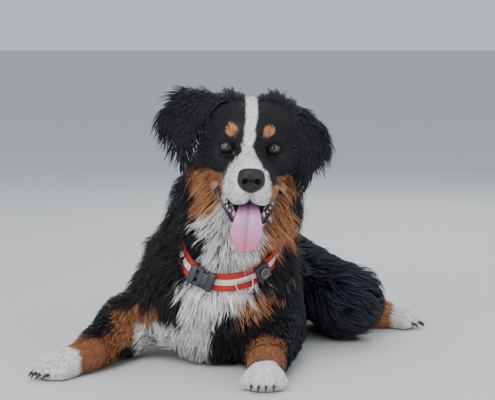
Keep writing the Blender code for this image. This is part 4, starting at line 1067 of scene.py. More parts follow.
def coat_values(p):
    """The six values of the coat at each point, short and fine on the face."""
    p = rows(p)
    q = to_head(p)
    weights = nearness(p)
    values = weights @ np.array([COAT[part] for part in PARTS])
    breast = ramp(-p[:, 1], -0.10, 0.0) * weights[:, 0]
    values[:, 2] += 60000 * breast
    values[:, 1] *= 1.0 - 0.22 * breast
    throat = ramp(-p[:, 1], 0.10, 0.16) * ramp(p[:, 2], 0.20, 0.25) * weights[:, 1]
    values[:, 0] *= 1.0 - 0.38 * throat
    smooth = np.maximum(breast, throat)
    values[:, 4] *= 1.0 - 0.40 * smooth
    values[:, 3] *= 1.0 - 0.45 * smooth
    x, y, z = np.abs(q[:, 0]), q[:, 1], q[:, 2]
    on_head = ramp(weights[:, -1], 0.35, 0.6)
    long_hair = ramp(y, 0.022, 0.075)
    long_hair = np.maximum(long_hair, ramp(x, 0.060, 0.078) * ramp(y, -0.005, 0.02))
    long_hair = np.where(z < -0.10, np.maximum(long_hair, ramp(y, 0.0, 0.05)), long_hair)
    short = (on_head * (1 - long_hair))[:, None]
    return values * (1 - short) + np.array(FACE) * short


def scatter(points, faces, rng, density, keep):
    """Random roots on a net, as many as the density asks at each place, where keep says so."""
    normals, area = normals_of(points, faces)
    middle = points[faces].mean(1)
    good = keep(middle, normals)
    faces, normals, area, middle = faces[good], normals[good], area[good], middle[good]
    wanted = density(middle) * area
    pick = rng.choice(len(faces), int(wanted.sum()), p=wanted / wanted.sum())
    a, b = rng.random((2, len(pick), 1))
    corner = points[faces[pick]]
    place = (corner[:, 0] * (1 - a) + corner[:, 1] * a) * (1 - b)
    place = place + (corner[:, 3] * (1 - a) + corner[:, 2] * a) * b
    return place, normals[pick]


def locks_near(roots, apart, rng):
    """For each root the nearest of a thinner set of roots, the leaders of the locks."""
    order = rng.permutation(len(roots))
    cells, leaders = {}, []
    for i in order:
        size = apart[i]
        key = tuple(np.floor(roots[i] / size).astype(int)) + (int(size * 2000),)
        if key not in cells:
            cells[key] = i
            leaders.append(i)
    tree = KDTree(len(leaders))
    for i in leaders:
        tree.insert(roots[i], i)
    tree.balance()
    return np.array([tree.find(root)[1] for root in roots])


COLLAR_CENTRE = np.array((0.039, -0.114, 0.239))
COLLAR_TILT = radians(44)
COLLAR_AXIS = np.array((0.0, -sin(COLLAR_TILT), cos(COLLAR_TILT)))


def under_strap(p):
    """Where the collar presses the hair of the throat down, from 0 to 1."""
    away = np.abs((p - COLLAR_CENTRE) @ COLLAR_AXIS)
    across = ramp(p[:, 0], -0.060, -0.035) * ramp(0.100 - p[:, 0], -0.006, 0.008)
    across = across * ramp(0.262 - p[:, 2], -0.010, 0.010)
    return ramp(0.036 - away, 0.0, 0.014) * across * ramp(-p[:, 1], 0.09, 0.13)


# How deep the tufts are rooted, and how high their points keep over the floor.
ROOT_DEPTH, FLOOR_GAP, FLOOR_SPREAD = 0.0012, 0.0008, 0.004


def strands(roots, normals, ways, length, depth, wave, lean, leader, loose, rng, stations, field):
    """The line of each tuft: rings along it from the root to the tip, and its side."""
    n = len(roots)
    turn = loose * (rng.normal(0.0, 0.16, n) + 0.24 * rng.standard_normal(n)[leader])
    side = np.cross(ways, normals)
    ahead = level(ways + side * turn[:, None], normals)
    side = np.cross(ahead, normals)
    size = length * rng.uniform(0.75, 1.15, n) * (0.85 + 0.3 * rng.random(n)[leader])
    layer = rng.uniform(0.30, 1.0, n)
    phase = rng.uniform(0.0, 2 * pi, n)[leader] + rng.normal(0.0, 0.3, n)
    lines = [roots - ROOT_DEPTH * normals]
    point = roots
    for k in range(1, len(stations)):
        t = stations[k]
        point = point + ahead * (size * (t - stations[k - 1]))[:, None]
        height = depth * layer * (1.0 - (1.0 - t) ** 2.2)
        pressed = under_strap(point)
        height = height * (1.0 - pressed) + pressed * np.minimum(height, CORE_SHARE * depth)
        if field is not None:
            point = point + np.clip(height - field(point), -0.02, 0.02)[:, None] * normals
        else:
            point = roots + ahead * (size * t)[:, None] + height[:, None] * normals
        lines.append(point)
    lines = np.stack(lines, 1)
    t = np.array(stations)[None, :, None]
    swing = np.sin(2 * pi * 1.1 * t + phase[:, None, None]) - np.sin(phase)[:, None, None]
    lines = lines + swing * wave[:, None, None] * side[:, None] * t
    pull = (lean * rng.uniform(0.6, 1.1, n))[:, None, None] * t**1.3
    lines = lines + pull * (lines[leader] - lines)
    least = FLOOR_GAP + FLOOR_SPREAD * rng.random(n)[:, None]
    lines[..., 2] = np.maximum(lines[..., 2], least)
    return lines, side


def blades(lines, side, normals, half_width, shape):
    """Points and triangles of closed three-sided blades along lines of rings."""
    n, rings, _ = lines.shape
    rings -= 1
    wide = half_width[:, None, None] * np.array(shape)[None, :rings, None]
    ring = lines[:, :rings]
    over, ridge = wide * side[:, None], 0.75 * wide * normals[:, None]
    corners = np.stack([ring - over, ring + ridge, ring + over], 2).reshape(n, rings * 3, 3)
    points = np.concatenate([corners, lines[:, rings:]], 1)
    faces, tip = [(0, 1, 2)], rings * 3
    for r in range(rings):
        for s in range(3):
            a, b = r * 3 + s, r * 3 + (s + 1) % 3
            faces += [(a, a + 3, b), (b, a + 3, b + 3)] if r < rings - 1 else [(a, tip, b)]
    faces = np.array(faces)[:, ::-1]
    return points, faces[None] + (np.arange(n) * (rings * 3 + 1))[:, None, None]


def fur_colour(roots, leader, rng):
    """The markings, lighter and darker from lock to lock and from hair to hair, with painted
    sunlight browning the right shoulder's locks and a painted bluish sheen on the left flank.
    """
    colours = markings(roots)
    n = len(roots)
    tone = 1.0 + 0.13 * rng.standard_normal(n)[leader] + 0.12 * rng.standard_normal(n)
    dark = colours.max(1) < 0.05
    x, y, z = roots.T
    # The black hair of the right shoulder, the side that faces the light, is browned lock by lock.
    # Part of this is the coat's own brownish locks, and part is painted sunlight.
    sunlit_brown = ramp(-0.030 - x, 0.0, 0.05) * ramp(z, 0.07, 0.13) * ramp(-y, -0.20, -0.05)
    sunlit_brown = sunlit_brown * rng.uniform(0.0, 1.0, n)[leader] * dark
    colours = colours + sunlit_brown[:, None] * np.array((0.026, 0.013, 0.003))
    # A painted bluish sheen of sky light on the black hair of the left flank.
    sky_sheen = ramp(x, 0.10, 0.16) * ramp(z, 0.03, 0.08) * dark * (0.5 + 0.5 * rng.random(n)[leader])
    colours = colours + sky_sheen[:, None] * np.array((0.018, 0.022, 0.034))
    return colours * np.clip(tone, 0.55, 1.5)[:, None]


finish = Finish("fur", Roughness=0.56, Specular_IOR_Level=0.40)
finish.set(Base_Color=finish.point_colours())
fur = finish.material
UV_MARGIN, UV_PATCH = 0.01, 0.003


def unwrap(roots, normals):
    """Each root's place on six flat charts of the hide, one for each way that it faces."""
    axis = np.argmax(np.abs(normals), axis=1)
    sign = np.take_along_axis(normals, axis[:, None], 1)[:, 0] > 0
    low = roots.min(0)
    span = (roots.max(0) - low).max()
    local = (roots - low) / span
    first = np.where(axis == 0, local[:, 1], local[:, 0])
    second = np.where(axis == 2, local[:, 1], local[:, 2])
    u = (axis + UV_MARGIN + first * (1 - 2 * UV_MARGIN)) / 3
    v = (sign + UV_MARGIN + second * (1 - 2 * UV_MARGIN)) / 2
    return np.stack([u, v], 1)


def coat_piece(name, roots, normals, lines, side, half_width, shape, colours):
    """One piece of the coat, with each tuft's colours, painted shade that darkens each tuft towards
    its root, and its small patch of the unwrap.
    """
    points, faces = blades(lines, side, normals, half_width, shape)
    made = mesh_object(name, points.reshape(-1, 3), faces.reshape(-1, 3), [fur])
    rings = lines.shape[1]
    along = np.concatenate([np.repeat(np.arange(rings - 1), 3), [rings - 1]]) / (rings - 1)
    # Painted shade down in the coat: each tuft is darker at its root and lighter towards its tip,
    # less so for pale hair.
    bright = np.clip(colours.max(1, keepdims=True) / 0.5, 0.0, 1.0)
    shade = 0.62 + 0.26 * bright + (0.50 - 0.32 * bright) * along[None]
    colour_points(made, (colours[:, None] * shade[..., None]).reshape(-1, 3))
    across = np.concatenate([np.tile((-1.0, 0.0, 1.0), rings - 1), [0.0]])
    patch = np.stack([across, 2 * along - 1], 1) * UV_PATCH / 2
    spots = (unwrap(roots, normals)[:, None] + patch[None]).reshape(-1, 2)
    layer = made.data.uv_layers.new(name="OFBake")
    layer.data.foreach_set("uv", spots[faces.reshape(-1)].astype(np.float32).ravel())
    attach(made, "root")


# Where a long and a short tuft have their rings, and how wide each ring but the tip is.
LONG, SHORT = (0.0, 0.34, 0.70, 1.0), (0.0, 0.52, 1.0)
LONG_SHAPE, SHORT_SHAPE = (0.75, 1.0, 0.70), (0.85, 0.80)
MOST_FACES = 196000
SHORT_BELOW = 0.0150
# Hair starts this far above the floor, this near to the skin and this far from the open mouth.
ABOVE_FLOOR, ON_SKIN, FROM_MOUTH = 0.006, 0.0015, 0.0022


def haired(p, n):
    """Not on the floor side, the mouth, the nose or the rims of the eyes."""
    q = to_head(p)
    nose = np.linalg.norm((q - np.array(NOSE_AT)) / (0.023, 0.020, 0.021), axis=1)
    eyes = np.stack([np.abs(q[:, 0]) - EYE_HALF_SPACING, 0.5 * q[:, 1], 1.35 * q[:, 2]], 1)
    in_mouth = (mouth_depth(p) < FROM_MOUTH) | (lip_band(p) < 0.0)
    on_face = (np.linalg.norm(eyes, axis=1) > EYE_RADIUS) & (nose > 1.0) & ~in_mouth
    return (p[:, 2] > ABOVE_FLOOR) & on_face & (np.abs(body(p)) < ON_SKIN)


rng = np.random.default_rng(3)
points, faces = joined_nets((body_points, body_faces), (head_points, head_faces))
roots, outward = scatter(points, faces, rng, lambda p: coat_values(p)[:, 2], haired)
outward = slope_of(body, roots)
length, half_width, _, wave, lean, apart = coat_values(roots).T
kind = np.array(PARTS)[np.argmax(nearness(roots), axis=1)]
leader = locks_near(roots, apart, rng)
ways = lie(roots, outward)
hair = fur_colour(roots, leader, rng)
is_short = length < SHORT_BELOW
on_head = kind == "head"
regions = dict(
    face=is_short & on_head,
    feet=is_short & ~on_head,
    crown=~is_short & on_head,
    legs=~is_short & (kind == "leg"),
    ruff=~is_short & (kind == "neck"),
    trunk=~is_short & (kind == "trunk"),
    thighs=~is_short & (kind == "thigh"),
    tail=~is_short & np.isin(kind, ("tail", "paw")),
)
# The crown's locks stand up beside a flat parting along the blaze, the shoulder's hair is fuller,
# some hair falls over the strap, and the coat is sleek over the loin and rump.
depth = coat_depth(roots) * np.where(is_short, 0.38, 1.0)
wild = rng.random(len(roots))[leader] ** 2
beside = to_head(roots)
on_crown = regions["crown"] & (beside[:, 2] > 0.030) & (np.abs(beside[:, 0]) > 0.030)
parting = gauss(beside[:, 0] / 0.016) * ramp(beside[:, 2], 0.015, 0.040) * on_head
shoulder = gauss((roots[:, 0] + 0.100) / 0.050, (roots[:, 2] - 0.185) / 0.060) * ~is_short
over = (roots - COLLAR_CENTRE) @ COLLAR_AXIS
over = ramp(over, 0.0, 0.015) * ramp(0.060 - over, 0.0, 0.015) * (kind == "neck")
sleek = ramp(roots[:, 1], 0.08, 0.20) * np.isin(kind, ("trunk", "thigh"))
for share, where in (
    (0.9, wild * on_crown), (-0.7, parting), (0.75, shoulder),
    (0.5, over * (1.0 - under_strap(roots))), (-0.45, sleek),
):
    depth = depth * (1.0 + share * where)
length = length * (1.0 + 0.25 * shoulder) * (1.0 - 0.45 * parting)
half_width = half_width * rng.uniform(0.75, 1.15, len(roots))
for region, chosen in regions.items():
    short = region in ("face", "feet")
    stations, shape = (SHORT, SHORT_SHAPE) if short else (LONG, LONG_SHAPE)
    here = np.nonzero(chosen)[0]
    index = np.full(len(roots), -1)
    index[here] = np.arange(len(here))
    own = index[leader[here]]
    own = np.where(own < 0, np.arange(len(here)), own)
    lines, side = strands(
        roots[here], outward[here], ways[here], length[here], depth[here], wave[here],
        lean[here], own, 0.35 if short else 0.75, rng, stations, body,
    )
    order = np.argsort(roots[here][:, 1], kind="stable")
    per_tuft = 3 * 2 * (len(shape) - 1) + 4
    parts = int(np.ceil(len(here) * per_tuft / MOST_FACES))
    for number, some in enumerate(np.array_split(order, parts)):
        name = f"coat_{region}" if parts == 1 else f"coat_{region}_{number + 1}"
        at = here[some]
        coat_piece(
            name, roots[at], outward[at], lines[some], side[some], half_width[at], shape, hair[at]
        )

# ---------------------------------------------------------------------------------------------
# The coat of the ears: short and velvety on the leaf, with a soft fringe of longer, wavy hair
# along its edges and a tuft that stands up at its root.

EAR_DENSITY = 170000.0
DOWN = np.array((0.0, 0.0, -1.0))
for side, name in ((1, "left"), (-1, "right")):
    points, faces = ear_nets[side]
    rng = np.random.default_rng(20 + side)
    roots, outward = scatter(
        points, faces, rng, lambda p: np.full(len(p), EAR_DENSITY), lambda p, n: p[:, 2] > 0
    )
    n = len(roots)
    centres, across = ear_lines(side)
    centres, across = from_head(centres), unit(across @ HEAD_SPIN.T)
    tree = KDTree(EAR_STEPS)
    for k, centre in enumerate(centres):
        tree.insert(centre, k)
    tree.balance()
    step = np.array([tree.find(root)[1] for root in roots])
    down = unit(np.gradient(centres, axis=0))[step]
    place = np.sum((roots - centres[step]) * across[step], 1) / ear_half[step]
    t = step / (EAR_STEPS - 1)
    edge = ramp(np.abs(place), 0.62, 0.98) * ramp(t, 0.0, 0.08)
    fringe = np.maximum(edge * (0.75 + 0.25 * (place > 0)), ramp(t, 0.80, 0.98))
    high = ramp(0.62 - t, 0.0, 0.25) * ramp(place, -0.45, 0.30)
    long_hair = np.maximum(np.clip(fringe, 0.0, 1.0), 0.9 * high)
    ways = down + (0.9 * np.sign(place) * edge)[:, None] * across[step]
    stray = rng.normal(0.0, 0.30, (n, 3)) * high[:, None]
    ways = ways + 0.5 * np.outer(long_hair * (1.0 - high), DOWN) + stray
    apart = np.array((0.9 * side, 0.0, 0.0)) @ HEAD_SPIN.T + (0.0, 0.0, -0.30 if side > 0 else 0.35)
    ways = level(ways + high[:, None] * apart, outward)
    half_width = 0.0007 + 0.0005 * long_hair
    leader = locks_near(roots, 0.006 + 0.008 * long_hair, rng)
    wild = high * ramp(rng.random(n)[leader], 0.50, 0.85) * (1.0 if side < 0 else 0.4)
    length = 0.012 + 0.024 * long_hair + 0.018 * wild
    lift = 0.003 + 0.005 * long_hair + 0.014 * wild
    lines, sides = strands(
        roots, outward, ways, length, lift, 0.0004 + 0.0022 * long_hair,
        0.25 + 0.35 * long_hair, leader, 0.7, rng, LONG, None,
    )
    sag = 0.35 * length * long_hair * (1.0 - high)
    lines = lines + np.array(LONG)[None, :, None] ** 2 * sag[:, None, None] * DOWN
    hair = BLACK * (0.8 + 0.45 * rng.random(n)[leader] + 0.2 * rng.random(n))[:, None]
    coat_piece("coat_ear_" + name, roots, outward, lines, sides, half_width, LONG_SHAPE, hair)

# ---------------------------------------------------------------------------------------------
# The whiskers: a few stiff, pale hairs on each side of the muzzle that bow out, back and down.

WHISKERS, WHISKER_HALF = 14, 0.00020
rng = np.random.default_rng(41)
side_of = np.where(np.arange(WHISKERS) % 2 == 0, 1.0, -1.0)
back, low = rng.uniform(-0.088, -0.052, WHISKERS), rng.uniform(-0.066, -0.048, WHISKERS)
start = from_head(np.stack([side_of * 0.031, back, low], 1))
for _ in range(30):
    start = start - np.clip(body(start), -0.004, 0.004)[:, None] * slope_of(body, start)
outward = slope_of(body, start)
reach = rng.uniform(0.030, 0.055, WHISKERS)[:, None]
bow = np.stack([side_of * 0.75, np.full(WHISKERS, 0.45), np.full(WHISKERS, -0.30)], 1)
bow = unit(bow @ HEAD_SPIN.T)
lines = np.stack([start + reach * (t * bow + 0.55 * t**2 * DOWN) for t in LONG], 1)
pale = np.tile((0.70, 0.66, 0.60), (WHISKERS, 1))
coat_piece(
    "coat_whiskers", start, outward, lines, unit(np.cross(bow, outward)),
    np.full(WHISKERS, WHISKER_HALF), LONG_SHAPE, pale,
)

# ---------------------------------------------------------------------------------------------
# The claws: short, blunt and dark horn, four to each foot, that just reach past the toes.

CLAW_APART, CLAW_HIGH, CLAW_HALF = 0.0125, 0.0125, 0.0027
claws = []
for ankle, tips, _ in FEET.values():
    ahead, sideways = heading(ankle, tips)
    for place in (-1.5, -0.5, 0.5, 1.5):
        probe = np.array(tips) * (1, 1, 0) + sideways * place * CLAW_APART + (0, 0, CLAW_HIGH)
        for _ in range(80):
            gap = body(rows(probe))[0]
            probe = probe - ahead * np.clip(gap, -0.004, 0.004)
            if abs(gap) < 1e-4:
                break
        reaches = ((-0.004, 0.0), (0.004, 0.0015), (0.009, 0.0), (0.012, -0.0070))
        line = [probe + reach * ahead + (0, 0, rise) for reach, rise in reaches]
        claws.append(blunt_point(bezier(line, POINT_STEPS), sideways, CLAW_HALF, 1.6, 1.15))
points, faces = joined_nets(*claws)
finish = Finish("claw", Base_Color=(0.035, 0.026, 0.022), Roughness=0.35)
claws = mesh_object("claws", points, faces, [finish.material])
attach(claws, "root")

# ---------------------------------------------------------------------------------------------
# The collar: a red webbing strap with a woven-in reflective stripe, closed by a side-release
# buckle of dark plastic, with a slider, a plain round disc and a metal ring at the throat.

COLLAR_HIGH, COLLAR_THICK, COLLAR_SLACK = 0.031, 0.0032, 0.004
COLLAR_STEPS, STRAP_SIDES = 720, 48


def collar_ring(count):
    """Points round the strap's inner face."""
    angles = turns(count)
    u = np.array((1.0, 0.0, 0.0))
    v = np.array((0.0, cos(COLLAR_TILT), sin(COLLAR_TILT)))
    out = np.cos(angles)[:, None] * u + np.sin(angles)[:, None] * v
    radius = np.full(count, 0.20)
    for _ in range(60):
        gap = core(COLLAR_CENTRE + out * radius[:, None])
        radius -= np.clip(gap - COLLAR_SLACK, -0.01, 0.01) * 0.8
    for _ in range(6):
        radius = np.maximum(radius, (np.roll(radius, 1) + np.roll(radius, -1)) / 2)
    return COLLAR_CENTRE + out * radius[:, None]


def collar_frame(count):
    """At each point round the strap: its inner face, the way along, the way up and the way out."""
    ring = collar_ring(count)
    along = unit(np.roll(ring, -1, 0) - np.roll(ring, 1, 0))
    slope = slope_of(core, ring, 0.002)
    for _ in range(4):
        slope = (slope + np.roll(slope, 1, 0) + np.roll(slope, -1, 0)) / 3
    up = COLLAR_AXIS - np.sum(COLLAR_AXIS * slope, 1)[:, None] * slope
    up = unit(up - np.sum(up * along, 1)[:, None] * along)
    return ring, along, up, np.cross(along, up)


strap_ring, strap_along, strap_up, strap_out = collar_frame(COLLAR_STEPS)


def collar_at(x):
    """The strap's frame at its front, where it passes a place across the dog."""
    front = np.nonzero(strap_ring[:, 1] < COLLAR_CENTRE[1])[0]
    k = front[np.argmin(np.abs(strap_ring[front, 0] - x))]
    place = Matrix.Identity(4)
    for axis, way in enumerate((-strap_along[k], strap_out[k], strap_up[k])):
        for row in range(3):
            place[row][axis] = way[row]
    place.translation = strap_ring[k]
    return place


# The section is a soft-edged slab; each of its points keeps its place along and across the strap,
# which the weave and the stripe are drawn from.
a = np.linspace(0.0, 2 * pi, STRAP_SIDES, endpoint=False)
x, z = np.cos(a), np.sin(a)
high = COLLAR_HIGH / 2 * np.sign(z) * np.abs(z) ** 0.25
deep = COLLAR_THICK / 2 * (1 + np.sign(x) * np.abs(x) ** 0.35)
points = strap_ring[:, None] + high[:, None] * strap_up[:, None]
points = points + deep[:, None] * strap_out[:, None]
faces = between_rings(COLLAR_STEPS, STRAP_SIDES, closed=True)
strap = mesh_object("strap", points.reshape(-1, 3), faces)
apart = np.linalg.norm(np.roll(strap_ring, -1, 0) - strap_ring, axis=1)
arc = np.concatenate([[0.0], np.cumsum(apart)])[:-1]
place = np.zeros((COLLAR_STEPS, STRAP_SIDES, 3), np.float32)
place[..., 0], place[..., 1] = arc[:, None], high
layer = strap.data.attributes.new("Along", "FLOAT_VECTOR", "POINT")
layer.data.foreach_set("vector", place.ravel())
finish = Finish("webbing", Roughness=0.72, Specular_IOR_Level=0.3)
place = finish.node("Attribute", dict(attribute_name="Along"), output="Vector")
arc_at = finish.node("SeparateXYZ", Vector=place)
high_at = Wire(finish.tree, arc_at.socket.node.outputs["Y"])
RIB, ROW, STRIPE_HALF, EDGE_FROM, SHARP = 0.0011, 0.0016, 0.0048, 0.0142, 4000.0
ribs = (arc_at * (2 * pi / RIB)).wave() * (high_at * (2 * pi / ROW)).wave()
stripe = 1.0 - ((abs(high_at) - STRIPE_HALF) * SHARP).held()
edge = ((abs(high_at) - EDGE_FROM) * SHARP).held()
red = finish.mix((ribs * 0.5 + 0.5).held(), (0.42, 0.018, 0.014), (0.60, 0.035, 0.024))
red = finish.mix(edge, red, (0.25, 0.012, 0.010))
finish.set(Base_Color=finish.mix(stripe, red, (0.62, 0.62, 0.63)))
finish.bump(ribs * (1.0 - stripe * 0.8), 0.6, 0.0004)
strap.data.materials.append(finish.material)
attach(strap, "root")
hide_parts("collar_strap")

# ---------------------------------------------------------------------------------------------
# The collar's buckle: a side-release clasp of dark plastic. The arms of its plug show in the
# windows at both edges of the socket; a few raised bars give the fingers a grip.

BUCKLE_AT, SLIDER_AT, RING_AT = -0.0220, 0.0775, 0.0470
LIFT = COLLAR_THICK + 0.0003


def rounded_boxes(name, boxes, place, material):
    """One object of soft-edged boxes, each with its lowest and highest corner and its bevel."""
    shape = bmesh.new()
    for low, high, bevel in boxes:
        low, high = Vector(low), Vector(high)
        made = bmesh.ops.create_cube(shape, size=1.0)["verts"]
        for corner in made:
            corner.co = Vector([c * s for c, s in zip(corner.co, high - low)]) + (low + high) / 2
        edges = {edge for corner in made for edge in corner.link_edges}
        soften = dict(offset=bevel, segments=3, profile=0.5, affect="EDGES")
        bmesh.ops.bevel(shape, geom=list(edges), **soften)
    mesh = bpy.data.meshes.new(name)
    shape.to_mesh(mesh)
    shape.free()
    mesh.transform(place)
    mesh.shade_smooth()
    mesh.materials.append(material)
    return added(name, mesh)


plastic = Finish("dark_plastic", Roughness=0.42)
mould = plastic.node("TexNoise", Vector=plastic.place(), Scale=1400.0, Detail=2.0)
plastic.set(Base_Color=plastic.mix(mould, (0.022, 0.025, 0.033), (0.034, 0.038, 0.050)))
plastic.bump(mould, 0.15, 0.0002)
boxes = [
    ((-0.0250, LIFT, -0.0170), (-0.0105, LIFT + 0.0108, 0.0170), 0.0026),
    ((-0.0130, LIFT + 0.0006, -0.0115), (0.0010, LIFT + 0.0104, 0.0115), 0.0022),
    ((-0.0020, LIFT, -0.0165), (0.0062, LIFT + 0.0108, 0.0165), 0.0022),
    ((0.0110, LIFT, -0.0168), (0.0250, LIFT + 0.0100, 0.0168), 0.0026),
    ((0.0040, LIFT + 0.0030, -0.0030), (0.0130, LIFT + 0.0075, 0.0030), 0.0012),
]
for side in (1, -1):
    low, high = sorted((side * 0.0100, side * 0.0158))
    boxes.append(((0.0040, LIFT + 0.0028, low), (0.0130, LIFT + 0.0078, high), 0.0014))
    low, high = sorted((side * 0.0118, side * 0.0166))
    boxes.append(((-0.0104, LIFT + 0.0022, low), (-0.0018, LIFT + 0.0086, high), 0.0018))
for k in range(4):
    x = -0.0226 + 0.0028 * k
    boxes.append(((x, LIFT + 0.0100, -0.0100), (x + 0.0013, LIFT + 0.0114, 0.0100), 0.0005))
buckle = rounded_boxes("buckle", boxes, collar_at(BUCKLE_AT), plastic.material)
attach(buckle, "root")
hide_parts("collar_buckle")

# ---------------------------------------------------------------------------------------------
# The slider, two bars that the webbing doubles back round, and the plain disc on it: a low dome
# with a thin metal rim.

boxes = [
    ((-0.0140, LIFT, -0.0150), (-0.0080, LIFT + 0.0078, 0.0150), 0.0020),
    ((0.0080, LIFT, -0.0150), (0.0140, LIFT + 0.0078, 0.0150), 0.0020),
    ((-0.0130, LIFT, 0.0090), (0.0130, LIFT + 0.0076, 0.0150), 0.0020),
    ((-0.0130, LIFT, -0.0150), (0.0130, LIFT + 0.0076, -0.0090), 0.0020),
    ((-0.0100, LIFT, -0.0110), (0.0100, LIFT + 0.0064, 0.0110), 0.0012),
]
slider = rounded_boxes("slider", boxes, collar_at(SLIDER_AT), plastic.material)
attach(slider, "root")
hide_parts("collar_slider")


def turned(profile, sides):
    """Points and quads of a solid turned round the Y axis, from (radius, height) pairs."""
    profile, a = np.array(profile), turns(sides)
    x, z = profile[:, :1] * np.cos(a), profile[:, :1] * np.sin(a)
    points = np.stack([x, np.repeat(profile[:, 1:], sides, 1), z], -1).reshape(-1, 3)
    return points, capped(between_rings(len(profile), sides), len(profile), sides)


def carried(points, place):
    """Points taken along by a 4 x 4 matrix."""
    place = np.array(place)
    return points.reshape(-1, 3) @ place[:3, :3].T + place[:3, 3]


DISC_SIDES, DISC_OUT = 64, 0.0083
DOME = (
    (0.0080, 0.0), (0.0085, 0.0004), (0.0085, 0.0018), (0.0082, 0.0022), (0.0077, 0.0022),
    (0.0074, 0.0017), (0.0070, 0.0016), (0.0050, 0.0019), (0.0025, 0.0020), (0.0008, 0.0021),
)
points, faces = turned(DOME, DISC_SIDES)
place = collar_at(SLIDER_AT) @ Matrix.Translation((0.0, LIFT + DISC_OUT, 0.0))
points = carried(points, place)
ring_of = np.repeat(np.arange(len(DOME)), DISC_SIDES)
finish = Finish("disc", Roughness=0.30, Coat_Weight=0.5, Coat_Roughness=0.1)
tint = finish.point_colours()
finish.set(Base_Color=tint, Metallic=(finish.node("SeparateColor", Color=tint) * 6.0 - 1.0).held())
disc = mesh_object("disc", points, faces, [finish.material])
tone = np.where((ring_of >= 1) & (ring_of <= 4), 0.42, 0.030)
colour_points(disc, tone[:, None] * np.array((1.0, 0.98, 0.95)))
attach(disc, "root")
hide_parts("collar_disc")

# ---------------------------------------------------------------------------------------------
# The ring: bright, round wire bent to a D, which hangs from the strap.

RING_STEPS, WIRE_SIDES, WIRE_HALF = 120, 16, 0.0016
RING_WIDE, RING_TALL, FLAT_FROM = 0.0153, 0.0170, 0.25
RING_OUT, RING_UP = 0.0030, -0.006
a = turns(RING_STEPS)
b = turns(WIRE_SIDES)[None, :, None]
high = RING_TALL * np.minimum(np.sin(a), FLAT_FROM)
centre = np.stack([RING_WIDE * np.cos(a), 0.0 * a, high], 1)
outward = np.stack([np.cos(a), 0.0 * a, np.sin(a)], 1)
wire = np.cos(b) * outward[:, None] + np.sin(b) * np.array((0.0, 1.0, 0.0))
points = centre[:, None] + WIRE_HALF * wire
faces = between_rings(RING_STEPS, WIRE_SIDES, closed=True)[:, [0, 3, 2, 1]]
place = collar_at(RING_AT) @ Matrix.Translation((0.0, LIFT + RING_OUT, RING_UP))
points = carried(points, place)
finish = Finish("steel", Base_Color=(0.66, 0.62, 0.55), Roughness=0.20, Metallic=1.0)
loop = mesh_object("ring", points, faces, [finish.material])
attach(loop, "root")
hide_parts("collar_ring")

# ---------------------------------------------------------------------------------------------
# The stitches: two rows of thick thread across the webbing on each side of the buckle and of
# the slider, where the strap is sewn to itself.

ROW_HALF_GAP, ROW_REACH, STITCHES_A_ROW, SUNK_TO = 0.0011, 0.0125, 11, COLLAR_THICK + 0.0001
spots, ways = [], []
for x in (BUCKLE_AT - 0.030, BUCKLE_AT + 0.030, SLIDER_AT - 0.019, SLIDER_AT + 0.019):
    place = collar_at(x)
    turn = np.array(place)[:3, :3]
    for row in (-ROW_HALF_GAP, ROW_HALF_GAP):
        for high in np.linspace(-ROW_REACH, ROW_REACH, STITCHES_A_ROW):
            spots.append(np.array(place)[:3, 3] + turn @ (row, SUNK_TO, high))
            ways.append(turn[:, 2])
threads = bpy.data.meshes.new("threads")
threads.from_pydata(spots, [], [])
layer = threads.attributes.new("Way", "FLOAT_VECTOR", "POINT")
layer.data.foreach_set("vector", np.array(ways, np.float32).ravel())
stitches = added("stitches", threads)

thread = Finish("thread", Base_Color=(0.30, 0.022, 0.020), Roughness=0.7)
group = bpy.data.node_groups.new("stitch_rows", "GeometryNodeTree")
for label, kind, way in (
    ("Spots", "NodeSocketGeometry", "INPUT"), ("Stitch Length", "NodeSocketFloat", "INPUT"),
    ("Thread Radius", "NodeSocketFloat", "INPUT"), ("Thread", "NodeSocketMaterial", "INPUT"),
    ("Stitches", "NodeSocketGeometry", "OUTPUT"),
):
    group.interface.new_socket(label, in_out=way, socket_type=kind)


def rows_node(kind, **links):
    """A node of the stitching group, with its inputs linked or set by name."""
    made = group.nodes.new(kind)
    for key, value in links.items():
        slot = made.inputs[key.replace("_", " ")]
        if isinstance(value, bpy.types.NodeSocket):
            group.links.new(value, slot)
        else:
            slot.default_value = value
    return made


given = rows_node("NodeGroupInput").outputs
bead = rows_node("GeometryNodeMeshUVSphere", Segments=10, Rings=6, Radius=given["Thread Radius"])
ratio = rows_node("ShaderNodeMath")
ratio.operation = "DIVIDE"
for slot, value in zip(ratio.inputs, (given["Stitch Length"], given["Thread Radius"])):
    group.links.new(value, slot)
size = rows_node("ShaderNodeCombineXYZ", X=1.0, Y=1.0, Z=ratio.outputs[0])
way = rows_node("GeometryNodeInputNamedAttribute", Name="Way")
way.data_type = "FLOAT_VECTOR"
turn = rows_node("FunctionNodeAlignRotationToVector", Vector=way.outputs["Attribute"])
turn.axis = "Z"
placed = rows_node(
    "GeometryNodeInstanceOnPoints", Points=given["Spots"], Instance=bead.outputs["Mesh"],
    Rotation=turn.outputs["Rotation"], Scale=size.outputs["Vector"],
)
solid = rows_node("GeometryNodeRealizeInstances", Geometry=placed.outputs["Instances"])
dressed = rows_node(
    "GeometryNodeSetMaterial", Geometry=solid.outputs["Geometry"], Material=given["Thread"]
)
rows_node("NodeGroupOutput", Stitches=dressed.outputs["Geometry"])
rows_of = stitches.modifiers.new("rows", "NODES")
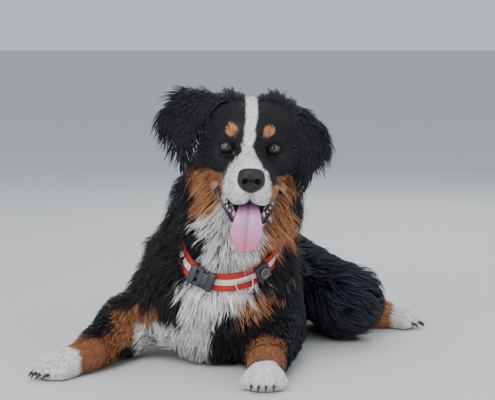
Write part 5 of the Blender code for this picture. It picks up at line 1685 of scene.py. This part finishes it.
rows_of.node_group = group
named = {item.name: item.identifier for item in group.interface.items_tree}
rows_of[named["Stitch Length"]] = 0.00095
rows_of[named["Thread Radius"]] = 0.00035
rows_of[named["Thread"]] = thread.material
seen = stitches.evaluated_get(bpy.context.evaluated_depsgraph_get())
sewn = bpy.data.meshes.new_from_object(seen)
stitches.modifiers.clear()
stitches.data = sewn
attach(stitches, "root")

# ---------------------------------------------------------------------------------------------
# The studio: a plain pale floor, a large soft light from above and the front and a weaker one
# from each side, under a pale sky.

FLOOR = 60
finish = Finish("floor", Base_Color=(0.62, 0.62, 0.60), Roughness=0.85, Specular_IOR_Level=0.2)
corners = [(-FLOOR, -FLOOR, 0), (FLOOR, -FLOOR, 0), (FLOOR, FLOOR, 0), (-FLOOR, FLOOR, 0)]
floor = mesh_object("floor", corners, [(0, 1, 2, 3)], [finish.material])

sky = bpy.data.worlds.new("sky")
sky.use_nodes = True
pale = sky.node_tree.nodes["Background"].inputs
pale["Color"].default_value, pale["Strength"].default_value = (0.80, 0.88, 1.0, 1.0), 0.75
bpy.context.scene.world = sky

LIT = (0.05, -0.05, 0.2)
for name, place, size, power in (
    ("key", (-0.6, -2.2, 2.6), 2.2, 84.0),
    ("fill", (2.4, -1.6, 1.4), 2.0, 20.0),
    ("rim", (0.8, 2.4, 2.2), 1.8, 36.0),
    ("front", (-1.4, -2.7, 0.5), 1.4, 22.0),
):
    light = added(name, bpy.data.lights.new(name, "AREA"))
    light.data.size, light.data.energy = size, power
    light.location = place
    toward = Vector(LIT) - light.location
    light.rotation_euler = toward.to_track_quat("-Z", "Y").to_euler()

PICTURE_WIDE, LENS_PIXELS, SENSOR_MM = 495, 1624, 36.0
camera = added("camera", bpy.data.cameras.new("camera"))
camera.location = (0.055, -3.0, 0.589)
camera.rotation_euler = (radians(90 - 5.8), 0.0, 0.0)
camera.data.sensor_width = SENSOR_MM
camera.data.lens = LENS_PIXELS / PICTURE_WIDE * SENSOR_MM
bpy.context.scene.camera = camera
